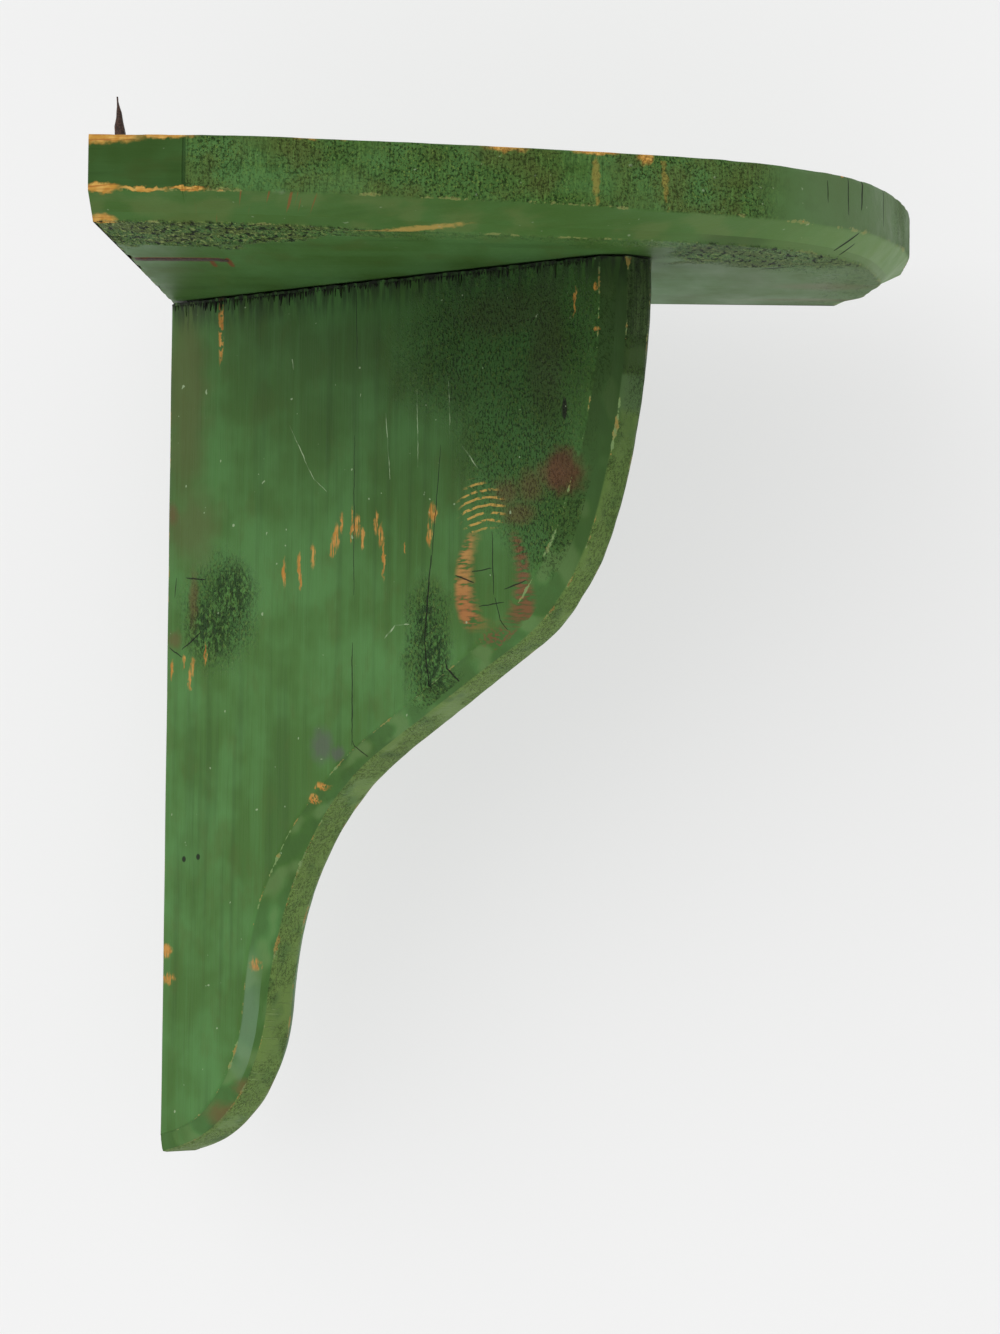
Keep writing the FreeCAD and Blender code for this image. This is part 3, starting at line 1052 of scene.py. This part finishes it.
def plank_splits(f, colour):
    """Drying splits and knife marks."""
    cracks = f.lines(
        f.trembling,
        [
            (178, -66, 173, -112, 0.5), (173, -108, 170, -142, 0.95), (170, -140, 173, -160, 0.8),
            (128, -60, 128.5, -122, 0.45), (128, -140, 128.6, -180, 0.7), (128.6, -178, 138, -193, 0.55),
            (207, -100, 208, -124, 0.6), (196, -115, 207, -114, 0.55), (187, -116, 197, -119, 0.7),
            (214, -122, 226, -119, 0.6), (200, -128, 214, -127, 0.55), (209, -125, 213, -137, 0.55),
            (182, -148, 185, -158, 0.9), (185, -158, 192, -164, 0.6), (26, -112, 38, -113, 0.8),
            (20, -112, 19, -120, 0.5), (16, -140, 24, -144, 0.6), (24, -141, 36, -134, 0.7),
            (113, -200, 120, -220, 0.6), (128, -4, 129, -34, 0.4),
        ],
    )
    bores = f.spots(f.flat, [(27, -225, 1.2, 1.2), (36, -224, 1.2, 1.2), (246, -56, 1.3, 4)], 0.25)
    cracks = f.product(f.most([cracks, bores]), f.near)
    colour = f.tint(colour, hue(20, 24, 12), cracks, 0.92)
    scores = f.lines(
        f.trembling,
        [
            (147, -139, 153, -134, 0.8), (153, -134, 161, -134, 0.5), (190, -67, 199, -76, 0.6),
            (89, -54, 104, -76, 0.5), (104, -76, 112, -81, 0.3), (146, -52, 149, -78, 0.5),
            (164, -44, 165, -74, 0.4), (182, -42, 183, -62, 0.4), (90, -28, 91, -32, 1.0),
        ],
    )
    flecks = f.product(f.speckle(3.0, 0.78, 0.81), 0.7)
    broken = f.ease(f.noise(f.place, (3, 3, 4.5), 2.0), 0.4, 0.62)
    scores = f.product(scores, f.total(0.15, f.product(broken, 0.75)))
    scores = f.product(f.most([scores, flecks]), f.near)
    colour = f.tint(colour, hue(152, 172, 134), scores)
    return colour


def plank_ends(f, colour):
    """The toe with a painted highlight on its chamfer, and the dirty sawn end under the board with its
    painted shade.
    """
    # a painted bluish highlight strip low on the chamfer, and bare brown wood at the toe
    painted_highlight_strip = f.product(f.spots(f.loose, [(66, -292, 7, 26)], 0.6), f.product(f.on_bevel, f.near))
    colour = f.tint(colour, hue(112, 142, 112), painted_highlight_strip, 0.5)
    toe = f.spots(f.shaken, [(50, -327, 8, 5), (60, -316, 4, 4)], 0.6)
    colour = f.tint(colour, hue(112, 84, 52), toe, f.on_bevel, 0.6)

    # painted shade and dirt close under the board, and the saw's black teeth marks
    painted_shade_and_grime = f.product(f.ease(f.z, -16, -1), f.ease(f.noise(f.place, (2.4, 2.4, 12), 2.0), 0.36, 0.62))
    colour = f.tint(colour, hue(24, 36, 18), painted_shade_and_grime, 0.75)
    comb = f.noise(f.place, (1.9, 1.9, 40), 1.0)
    teeth = f.ease(f.total(f.z, f.product(comb, 12.5)), 4.0, 6.0)
    colour = f.tint(colour, hue(14, 18, 9), teeth, f.less(0.92, f.product(f.on_edge, 0.6)))
    return colour


def bracket_paint():
    """Green plank, upright grain. Marks are placed by reach from the corner and height, on the near face."""
    f = Finish("Bracket paint", (0, 0, 45))
    f.gap, f.on_edge, f.on_bevel = f.field("arris"), f.field("edge"), f.field("bevel")
    f.near = f.math("LESS_THAN", f.y, -9.0)
    f.face = f.product(f.near, f.opposite(f.most([f.on_edge, f.on_bevel])))
    f.flat = f.vector("MULTIPLY", f.place, (1, 0, 1))
    f.shaken = f.vector("MULTIPLY", f.ragged(2.2, 3.0), (1, 0, 1))
    f.loose = f.vector("MULTIPLY", f.ragged(7, 13.0), (1, 0, 1))
    f.trembling = f.vector("MULTIPLY", f.ragged(0.7, 6.0), (1, 0, 1))
    colour, roughness, height = plank_coat(f)
    colour = plank_edge(f, colour)
    colour, height = plank_stains(f, colour, height)
    colour = plank_knot(f, colour)
    colour, chips = plank_chips(f, colour)
    colour = plank_ends(f, plank_splits(f, colour))
    return f.lay(colour, f.total(roughness, f.product(chips, 0.25)), height)


def board_coat(f):
    """The green over the sawn front, the planed bevel and the torn bands of the underside."""
    f.open_run = f.product(f.ease(f.along, 33, 35), f.ease(f.along, 264, 244))
    f.open_run = f.most([f.open_run, f.product(f.ease(f.along, 345, 362), 0.7)])
    front = f.field("front")
    patchy = f.ease(f.noise(f.place, 26, 2.0), 0.36, 0.58)
    sawn = f.product(f.on_edge, f.open_run, f.total(0.35, f.product(patchy, 0.6)))
    band_edge = f.total(front, f.product(f.less(patchy, 0.5), 16))
    torn_left = f.ease(f.along, 125, 60)
    torn_right = f.product(f.ease(f.along, 205, 250), f.ease(f.along, 345, 320))
    band_depth = f.most([f.product(torn_left, 88), f.product(torn_right, 62), 40.0])
    f.band = f.ease(f.less(band_depth, band_edge), -8, 8)
    f.band = f.product(f.band, f.product(f.under, f.opposite(f.on_bevel)))
    f.band = f.product(f.band, f.total(0.2, f.most([torn_left, f.product(torn_right, 0.7)])))
    f.coarse = f.math("MINIMUM", f.most([sawn, f.band]), 1.0)
    coat = f.group(
        COAT,
        {"Place": f.grain_place, "Coarse": f.coarse, "Weathered": 0.45, "Pore length": 0.9, "Specks": 0.9},
    )
    colour, roughness, height = coat[0], coat[1], coat[2]

    olive = f.product(f.ease(f.noise(f.place, 20, 3.0), 0.45, 0.6), f.product(f.coarse, 0.55))
    colour = f.tint(colour, hue(86, 92, 46), olive)
    smooth = f.mix(f.ease(f.noise(f.place, 18, 3.0), 0.42, 0.6), hue(68, 102, 44), hue(90, 110, 56))
    colour = f.mix(f.product(f.on_bevel, 0.6), colour, smooth)
    tip = f.product(f.on_edge, f.product(f.ease(f.along, 235, 285), 0.75))
    colour = f.tint(colour, hue(92, 116, 76), tip)
    nose = f.product(f.on_bevel, f.ease(f.along, 190, 330))
    colour = f.tint(colour, hue(112, 142, 88), nose, 0.75)
    tooth = f.noise(f.rim, (1.1, 1, 7), 2.0, 0.6)
    toothed = f.product(f.on_edge, f.open_run)
    light_tooth = f.product(f.ease(tooth, 0.52, 0.68), f.product(toothed, 0.45))
    dark_tooth = f.product(f.ease(tooth, 0.46, 0.34), f.product(toothed, 0.45))
    colour = f.tint(colour, hue(98, 134, 66), light_tooth)
    colour = f.tint(colour, hue(38, 58, 24), dark_tooth)
    cut_end = f.product(f.on_edge, f.ease(f.along, 35, 32))
    colour = f.mix(f.product(cut_end, 0.85), colour, f.mix(1.0, colour, (0.50, 0.52, 0.42, 1), "MULTIPLY"))
    bright = f.ease(f.noise(f.place, (1.7, 6.5, 1.7), 2.0, 0.6), 0.52, 0.64)
    colour = f.tint(colour, hue(142, 158, 90), bright, f.product(f.band, 0.6))
    return colour, roughness, height


def board_strokes(f, colour, height):
    """Brown strokes on the bevel, worn lines down the front edge and the step by its left end."""
    down_edge = f.node("ShaderNodeCombineXYZ", {0: f.along, 1: f.product(f.z, 0.05)}).outputs[0]
    cuts = f.noise(down_edge, (2.0, 1, 1), 2.0)
    strokes = f.product(
        f.ease(cuts, 0.63, 0.70),
        f.product(f.on_bevel, f.product(f.ease(f.along, 36, 44), f.ease(f.along, 92, 80))),
    )
    colour = f.tint(colour, hue(128, 84, 46), strokes, 0.8)

    wear_lines = f.splits(
        f.shaken,
        [
            ((200, -253, 29), (202, -252, 8), 2.6), ((243, -205, 29), (244, -204, 9), 2.2),
            ((176, -262, 29), (177, -262, 10), 3.2),
        ],
    )
    colour = f.tint(colour, hue(150, 132, 62), wear_lines, f.on_edge, 0.6)
    step = f.patches(f.place, [((33.5, -300, 18), (0.6, 9, 14))], 0.4)
    colour = f.tint(colour, hue(30, 52, 24), step, f.on_edge, 0.6)
    height = f.less(height, f.product(step, 0.4))
    return colour, height


def board_knocks(f, colour, height):
    """Bare pine where the arrises have been knocked."""
    bare = f.group(BARE, {"Place": f.grain_place, "Age": 0.0})[0]
    knocks = f.patches(
        f.shaken,
        [
            ((6, -300, 29), (13, 6, 3.0)), ((27, -300, 29.5), (11, 5, 1.8)), ((4, -300, 10), (7, 5, 1.7)),
            ((19, -300, 9.6), (8, 5, 0.8)), ((35, -300, 10.2), (6, 5, 0.8)), ((3, -284, 0.6), (5, 5, 2.2)),
            ((78, -297, 29.4), (6, 5, 1.2)), ((88, -295, 29.4), (5, 5, 1.1)),
            ((147, -276, 29.3), (9, 6, 2.4)),
            ((177, -262, 29.2), (9, 6, 1.6)), ((194, -254, 28.5), (3, 5, 3.4)),
        ],
        0.35,
    )
    rubbed = f.group(ARRIS, {"Place": f.place, "Gap": f.gap, "Reach": 0.8, "Amount": 0.40})[0]
    bites = f.most([knocks, f.product(rubbed, f.ease(f.z, 5, 9))])
    colour = f.mix(bites, colour, bare)
    height = f.less(height, f.product(bites, 0.3))
    pale = f.group(ARRIS, {"Place": f.place, "Gap": f.gap, "Reach": 0.9, "Amount": 0.5})[0]
    pale = f.product(pale, f.ease(f.z, 16, 12))
    colour = f.tint(colour, hue(152, 152, 92), pale, 0.45)
    streak_line = f.patches(f.shaken, [((118, -262, 0.5), (26, 2.0, 2.5))], 0.4)
    colour = f.tint(colour, hue(176, 148, 78), streak_line, 0.8)
    return colour, height, bites


def board_rust(f, colour):
    """Rust round the spikes, brown rubs and painted bounce light on the underside."""
    # rust round the spike legs, and an old brown rub by the nose
    spread = 0.7
    leg = spike_high[0] - 3.5
    legs = []
    for mirrored in (False, True):
        for start, end in (
            ((0, -174.3), (leg, -174.3)), ((leg + 2.5, -174.3), (leg + 2.5, -146)),
            ((0, -165.6), (leg - 4, -165.6)), ((leg - 4, -165.6), (leg - 4, -146)),
        ):
            if mirrored:
                start, end = (-start[1], -start[0]), (-end[1], -end[0])
            legs.append(((*start, 0), (*end, 0), 2.4))
    shade = f.vector("MULTIPLY", f.ragged(spread, 3.0), (1, 1, 0))
    bleed = f.product(f.splits(shade, legs), f.under)
    colour = f.tint(colour, hue(116, 56, 34), bleed, 0.85)
    tack_rust = f.patches(f.shaken, [((27, -169, 0), (6, 5, 3)), ((169, -27, 0), (5, 6, 3))], 0.6)
    colour = f.tint(colour, hue(104, 54, 34), tack_rust, f.under, 0.75)
    brown = f.patches(f.loose, [((262, -92, 0), (16, 12, 8)), ((262, -30, 0), (30, 8, 8))], 0.6)
    colour = f.tint(colour, hue(110, 84, 62), brown, f.under, 0.5)
    # painted bounce light: the underside is lighter towards the right wall
    painted_bounce_light = f.product(f.ease(f.x, 190, 240), f.under)
    colour = f.tint(colour, hue(84, 108, 62), painted_bounce_light, 0.45)
    return colour


def board_pits(f, colour, height):
    """Torn pits, splits and pale flecks, and the painted shade along the bracket."""
    # pits, splits and flecks
    pit_at = f.noise(f.place, (2.4, 9, 2.4), 2.0, 0.6)
    pits = f.math("MULTIPLY", f.ease(pit_at, 0.56, 0.62), f.product(f.band, 1.1), clamp=True)
    cracks = f.splits(
        f.rim,
        [
            ((297, 0, 29), (297.5, 0, 15), 0.7), ((309, 0, 29), (308.3, 0, 18), 1.2),
            ((334, 0, 29), (334.5, 0, 15), 0.8), ((308, 0, 9.5), (300, 0, 2.5), 1.1),
            ((311, 0, 6), (306, 0, 1.5), 0.8), ((283, 0, 26), (283.4, 0, 18), 0.5),
        ],
    )
    cracks = f.product(cracks, f.most([f.on_edge, f.on_bevel]))
    slot = f.splits(f.ragged(0.6, 5.0), [((237, -150, 0), (247, -158, 0), 2.4)])
    dark = f.most([pits, cracks, slot])
    colour = f.tint(colour, hue(18, 28, 14), dark, 0.9)
    height = f.less(height, f.product(dark, 0.9))
    flecks = f.most(
        [
            f.product(f.speckle(2.6, 0.76, 0.80), 0.7),
            f.patches(f.shaken, [((68, -299, 8), (4, 4, 2)), ((158, -262, 1.5), (4, 4, 1))], 0.6),
        ],
    )
    colour = f.tint(colour, hue(156, 172, 138), flecks, 0.6)
    # painted shade on the underside close beside both faces of the bracket
    painted_seat_shade = f.product(
        f.under,
        f.ease(f.math("ABSOLUTE", f.vector("DOT_PRODUCT", f.place, (0.7071, 0.7071, 0))), 17, 7.5),
    )
    colour = f.tint(colour, hue(34, 52, 26), painted_seat_shade, 0.35)
    return colour, height


def board_paint():
    """Green board, grain along the right wall. Its sawn front is open-pored, its bevel is smooth."""
    f = Finish("Board paint", specular=0.06)
    f.gap, f.on_edge, f.on_bevel, f.along = (f.field(n) for n in ("arris", "edge", "bevel", "along"))
    f.under = f.math("LESS_THAN", f.z, 3.0)
    across = f.product(f.y, f.opposite(f.product(f.under, 0.78)))
    f.grain_place = f.node("ShaderNodeCombineXYZ", {0: across, 1: f.z, 2: f.x}).outputs[0]
    f.rim = f.node("ShaderNodeCombineXYZ", {0: f.along, 2: f.z}).outputs[0]
    f.shaken = f.ragged(2.0, 3.0)
    f.loose = f.ragged(6, 14.0)
    colour, roughness, height = board_coat(f)
    colour, height = board_strokes(f, colour, height)
    colour, height, bites = board_knocks(f, colour, height)
    colour = board_rust(f, colour)
    colour, height = board_pits(f, colour, height)
    return f.lay(colour, f.total(roughness, f.product(bites, 0.2)), height)


def iron_finish(name, bloom, metal, painted=0.0):
    f = Finish(name, specular=0.4)
    rust = f.group(RUST, {"Place": f.place, "Bloom": bloom})
    colour, roughness = rust[0], rust[1]
    if painted:
        skin = f.product(f.ease(f.z, BOARD_THICK - 1.6, BOARD_THICK - 0.6), painted)
        skin = f.product(skin, f.ease(f.noise(f.place, 1.6, 2.0), 0.62, 0.5))
        colour = f.tint(colour, hue(66, 98, 50), skin)
    f.shader.inputs["Metallic"].default_value = metal
    return f.lay(colour, roughness, rust[2])


# ---------------------------------------------------------------- wire nails and tacks

def fastener_tree():
    """A headed wire nail, turned from its own profile and set at each point of the mesh it is given."""
    tree = bpy.data.node_groups.new("Wire nail", "GeometryNodeTree")
    plan = {
        "Points": "NodeSocketGeometry", "Head radius": "NodeSocketFloat", "Head height": "NodeSocketFloat",
        "Shank radius": "NodeSocketFloat", "Length": "NodeSocketFloat", "Tip": "NodeSocketFloat",
        "Dents": "NodeSocketFloat", "Turn": "NodeSocketRotation", "Finish": "NodeSocketMaterial",
    }
    for label, kind in plan.items():
        tree.interface.new_socket(label, in_out="INPUT", socket_type=kind)
    tree.interface.new_socket("Nails", in_out="OUTPUT", socket_type="NodeSocketGeometry")
    net = Net(tree)
    take = net.node("NodeGroupInput").outputs
    line = net.node("GeometryNodeCurvePrimitiveLine", {"End": (0, 0, -1)}).outputs[0]
    line = net.node("GeometryNodeResampleCurve", {"Curve": line, "Count": 48}).outputs[0]
    share = net.node("GeometryNodeSplineParameter").outputs["Factor"]
    depth = net.product(net.math("POWER", share, 3.0), take["Length"])
    spot = net.node("ShaderNodeCombineXYZ", {2: net.product(depth, -1.0)}).outputs[0]
    line = net.node("GeometryNodeSetPosition", {"Geometry": line, "Position": spot}).outputs[0]
    rise = net.math("DIVIDE", depth, net.product(take["Head height"], 0.6), clamp=True)
    dome = net.opposite(net.math("POWER", net.opposite(rise), 4.0))
    neck = net.ease(depth, take["Head height"], net.product(take["Head height"], 0.6))
    flare = net.product(net.less(take["Head radius"], take["Shank radius"]), neck)
    point = net.math("DIVIDE", net.less(take["Length"], depth), take["Tip"], clamp=True)
    radius = net.product(net.total(take["Shank radius"], flare), net.product(dome, point))
    radius = net.total(radius, 0.02 * MM)
    circle = net.node("GeometryNodeCurvePrimitiveCircle", {"Resolution": 24, "Radius": 1.0}).outputs[0]
    turned_mesh = net.node(
        "GeometryNodeCurveToMesh", {"Curve": line, "Profile Curve": circle, "Fill Caps": True}
    )
    net.feed(turned_mesh.inputs["Scale"], radius)
    placed = net.node(
        "GeometryNodeInstanceOnPoints",
        {"Points": take["Points"], "Instance": turned_mesh.outputs[0], "Rotation": take["Turn"]},
    ).outputs[0]
    real = net.node("GeometryNodeRealizeInstances", {"Geometry": placed}).outputs[0]
    at = net.node("GeometryNodeInputPosition").outputs[0]
    dent = net.node("ShaderNodeTexNoise", {"Vector": at, "Scale": 420.0, "Detail": 2.0}).outputs["Color"]
    dent = net.vector("SUBTRACT", dent, (0.5, 0.5, 0.5))
    dent = net.node("ShaderNodeVectorMath", {0: dent, "Scale": take["Dents"]}, operation="SCALE").outputs[0]
    real = net.node("GeometryNodeSetPosition", {"Geometry": real, "Offset": dent}).outputs[0]
    real = net.node("GeometryNodeSetMaterial", {"Geometry": real, "Material": take["Finish"]}).outputs[0]
    net.feed(net.node("NodeGroupOutput").inputs[0], real)
    return tree


def settled(name, start, tree, values, edges=()):
    """A plain mesh piece from a geometry tree run on the points `start`, in mm, and their edges."""
    seedling = bpy.data.meshes.new(name + "_points")
    seedling.from_pydata([tuple(p * MM) for p in start], edges, [])
    holder = in_scene(name + "_points", seedling)
    modifier = holder.modifiers.new("nails", "NODES")
    modifier.node_group = tree
    sockets = {s.name: s.identifier for s in tree.interface.items_tree if s.in_out == "INPUT"}
    for label, value in values.items():
        modifier[sockets[label]] = value
    ready = holder.evaluated_get(bpy.context.evaluated_depsgraph_get())
    mesh = bpy.data.meshes.new_from_object(ready)
    mesh.name = name
    bpy.data.objects.remove(holder)
    bpy.data.meshes.remove(seedling)
    mesh.shade_smooth()
    mesh.set_sharp_from_angle(angle=math.radians(60))
    return in_scene(name, mesh)


def set_nails(name, nodes, upward, sizes, dents, tree, finish):
    """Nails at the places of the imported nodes; tacks are driven upward, nails downward."""
    places = []
    for node in nodes:
        low, high = box_mm(node)
        z = low[2] + dents if upward else high[2] - dents
        places.append(Vector(((low[0] + high[0]) / 2, (low[1] + high[1]) / 2, z)))
    values = {label: size * MM for label, size in sizes.items()}
    values.update({"Dents": dents * MM, "Turn": (math.pi if upward else 0.0, 0.0, 0.0), "Finish": finish})
    piece = settled(name, places, tree, values)
    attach(piece, "root")
    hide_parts(*nodes)
    return piece


# ---------------------------------------------------------------- torn fibres under the board

def torn_fibre_tree():
    """Short splinters hanging along a sawn end, each with its own length, girth and lean."""
    tree = bpy.data.node_groups.new("Torn fibres", "GeometryNodeTree")
    plan = {
        "Line": "NodeSocketGeometry", "Count": "NodeSocketInt", "Girth": "NodeSocketFloat",
        "Longest": "NodeSocketFloat", "Lean": "NodeSocketFloat", "Seed": "NodeSocketInt",
        "Finish": "NodeSocketMaterial",
    }
    for label, kind in plan.items():
        tree.interface.new_socket(label, in_out="INPUT", socket_type=kind)
    tree.interface.new_socket("Fibres", in_out="OUTPUT", socket_type="NodeSocketGeometry")
    net = Net(tree)
    take = net.node("NodeGroupInput").outputs

    def draw(kind, low, high, seed_step):
        seed = net.total(take["Seed"], seed_step)
        key = {"FLOAT": (2, 3), "FLOAT_VECTOR": (0, 1)}[kind]
        made = net.node("FunctionNodeRandomValue", {key[0]: low, key[1]: high, "Seed": seed}, data_type=kind)
        return next(o for o in made.outputs if o.enabled)

    curve = net.node("GeometryNodeMeshToCurve", {0: take["Line"]}).outputs[0]
    curve = net.node("GeometryNodeResampleCurve", {"Curve": curve, "Count": take["Count"]}).outputs[0]
    points = net.node("GeometryNodeCurveToPoints", {"Curve": curve, "Count": take["Count"]}).outputs[0]
    splinter = net.node(
        "GeometryNodeMeshCone",
        {"Vertices": 6, "Side Segments": 4, "Radius Top": 0.12, "Radius Bottom": 1.0, "Depth": 1.0},
    ).outputs["Mesh"]
    splinter = net.node(
        "GeometryNodeTransform", {"Geometry": splinter, "Rotation": (math.pi, 0, 0)}
    ).outputs[0]
    lean = net.vector("MULTIPLY", draw("FLOAT_VECTOR", (-1, -1, -3.1), (1, 1, 3.1), 1), (1, 1, 1))
    spread = net.node("ShaderNodeCombineXYZ", {0: take["Lean"], 1: take["Lean"], 2: 1.0}).outputs[0]
    lean = net.vector("MULTIPLY", lean, spread)
    girth = net.product(take["Girth"], draw("FLOAT", 0.45, 1.3, 2))
    share = net.math("POWER", draw("FLOAT", 0.25, 1.0, 3), 2.0)
    size = net.node("ShaderNodeCombineXYZ", {0: girth, 1: girth, 2: net.product(take["Longest"], share)})
    placed = net.node(
        "GeometryNodeInstanceOnPoints",
        {"Points": points, "Instance": splinter, "Rotation": lean, "Scale": size.outputs[0]},
    ).outputs[0]
    real = net.node("GeometryNodeRealizeInstances", {"Geometry": placed}).outputs[0]
    at = net.node("GeometryNodeInputPosition").outputs[0]
    bend = net.node("ShaderNodeTexNoise", {"Vector": at, "Scale": 700.0, "Detail": 1.0}).outputs["Color"]
    bend = net.vector("SUBTRACT", bend, (0.5, 0.5, 0.5))
    bend = net.vector("MULTIPLY", bend, (0.6 * MM, 0.6 * MM, 0.2 * MM))
    real = net.node("GeometryNodeSetPosition", {"Geometry": real, "Offset": bend}).outputs[0]
    real = net.node("GeometryNodeSetMaterial", {"Geometry": real, "Material": take["Finish"]}).outputs[0]
    net.feed(net.node("NodeGroupOutput").inputs[0], real)
    return tree


def fringe_finish():
    """Dirty old glue and soot over green fibre ends."""
    f = Finish("Torn fibre ends")
    tone = f.noise(f.place, (3, 3, 6), 2.0)
    colour = f.mix(f.ease(tone, 0.42, 0.62), hue(11, 15, 8), hue(30, 46, 20))
    hair = f.noise(f.place, (0.5, 0.5, 4), 2.0)
    return f.lay(colour, f.total(0.7, f.product(tone, 0.3)), f.product(hair, 0.15))


def make_fringe(tree, finish):
    """A row of torn fibres on each face of the plank, where its sawn end meets the board."""
    rows = []
    for side, first, last in ((-1, 17, 258), (1, 17, 258)):
        ends = [Vector((reach, side * (PLANK_THICK / 2 - 0.35), -1.9)) for reach in (first, last)]
        rows.append([BRACKET_TURN.to_3x3() @ end for end in ends])
    piece = settled(
        "torn_fibres",
        [end for row in rows for end in row],
        tree,
        {"Count": 150, "Girth": 0.8 * MM, "Longest": 5.6 * MM, "Lean": 0.12, "Seed": 4, "Finish": finish},
        edges=[(0, 1), (2, 3)],
    )
    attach(piece, "root")
    return piece


# ---------------------------------------------------------------- the room

def plain_surface(name, colour, glow, see_through_behind):
    """A matt surface that glows a little and may be clear from behind."""
    material = bpy.data.materials.new(name)
    material.use_nodes = True
    net = Net(material.node_tree)
    shader = material.node_tree.nodes["Principled BSDF"]
    shader.inputs["Base Color"].default_value = colour
    shader.inputs["Roughness"].default_value = 0.9
    shader.inputs["Specular IOR Level"].default_value = 0.1
    shader.inputs["Emission Color"].default_value = (1, 1, 1, 1)
    shader.inputs["Emission Strength"].default_value = glow
    if see_through_behind:
        clear = net.node("ShaderNodeBsdfTransparent")
        behind = net.node("ShaderNodeNewGeometry").outputs["Backfacing"]
        both = net.node("ShaderNodeMixShader", {0: behind, 1: shader.outputs[0], 2: clear.outputs[0]})
        out = material.node_tree.nodes["Material Output"]
        material.node_tree.links.new(both.outputs[0], out.inputs["Surface"])
    return material


def make_room():
    """A pale wall just behind the shelf that curves into a pale floor well below it."""
    wall_y, floor_z, half, sweep = 0.06, -1.1, 3.0, 0.3
    profile = [(wall_y, 1.8)]
    for k in range(13):
        turn = math.radians(90 * k / 12)
        profile.append((wall_y - sweep + sweep * math.cos(turn), floor_z + sweep - sweep * math.sin(turn)))
    profile.append((-4.0, floor_z))
    points = [(x, y, z) for y, z in profile for x in (-half, half)]
    faces = [(2 * k, 2 * k + 1, 2 * k + 3, 2 * k + 2) for k in range(len(profile) - 1)]
    mesh = bpy.data.meshes.new("studio_wall")
    mesh.from_pydata(points, [], [f[::-1] for f in faces])
    mesh.shade_smooth()
    mesh.materials.append(plain_surface("Pale lit wall", (0.33, 0.33, 0.33, 1), 0.56, True))
    in_scene("studio_wall", mesh)


def make_light():
    """An even sky and a broad, weak sun from the upper left."""
    world = bpy.data.worlds.new("studio")
    world.use_nodes = True
    world.node_tree.nodes["Background"].inputs["Color"].default_value = (1.0, 1.0, 1.0, 1)
    world.node_tree.nodes["Background"].inputs["Strength"].default_value = 0.74
    bpy.context.scene.world = world
    lamp = bpy.data.lights.new("window", "SUN")
    lamp.energy = 1.0
    lamp.angle = math.radians(60)
    holder = in_scene("window", lamp)
    toward = Vector((0.50, 0.80, -0.34))
    holder.rotation_mode = "QUATERNION"
    holder.rotation_quaternion = toward.to_track_quat("-Z", "Y")


def make_camera():
    """A long lens 2 m in front, below the board and looking slightly up."""
    yaw, pitch, roll = (math.radians(d) for d in (2.26, 1.99, 0.65))
    forward = Vector((-math.sin(yaw) * math.cos(pitch), math.cos(yaw) * math.cos(pitch), math.sin(pitch)))
    right = Vector((math.cos(yaw), math.sin(yaw), 0))
    up = right.cross(forward)
    leaned_right = right * math.cos(roll) + up * math.sin(roll)
    leaned_up = up * math.cos(roll) - right * math.sin(roll)
    lens = bpy.data.cameras.new("camera")
    lens.sensor_width = 36
    lens.lens = 136.7
    lens.clip_start, lens.clip_end = 0.05, 50
    holder = in_scene("camera", lens)
    turn = Matrix((leaned_right, leaned_up, -forward)).transposed()
    holder.matrix_world = Matrix.Translation((0.2152, -2.0547, -0.2171)) @ turn.to_4x4()
    bpy.context.scene.camera = holder


# ---------------------------------------------------------------- making it all

bpy.context.scene.view_settings.view_transform = "Standard"
make_camera()
make_light()
make_room()

make_board(board_paint())
make_bracket(bracket_paint())
make_fringe(torn_fibre_tree(), fringe_finish())
spike_iron = iron_finish("Forged iron", 0.35, 0.25)
for spike_side in ("left", "right"):
    make_spike(spike_side, spike_iron)
nail_tree = fastener_tree()
set_nails(
    "board_nails",
    ("board_nail_rear", "board_nail_middle", "board_nail_front"),
    False,
    {"Head radius": 3.3, "Head height": 1.4, "Shank radius": 1.55, "Length": 77.8, "Tip": 6.0},
    0.06,
    nail_tree,
    iron_finish("Nail iron painted over", 0.6, 0.2, painted=0.9),
)
set_nails(
    "spike_tacks",
    ("spike_tack_left", "spike_tack_right"),
    True,
    {"Head radius": 3.1, "Head height": 1.2, "Shank radius": 1.05, "Length": 19.8, "Tip": 6.0},
    0.06,
    nail_tree,
    iron_finish("Tack iron", 0.75, 0.2),
)
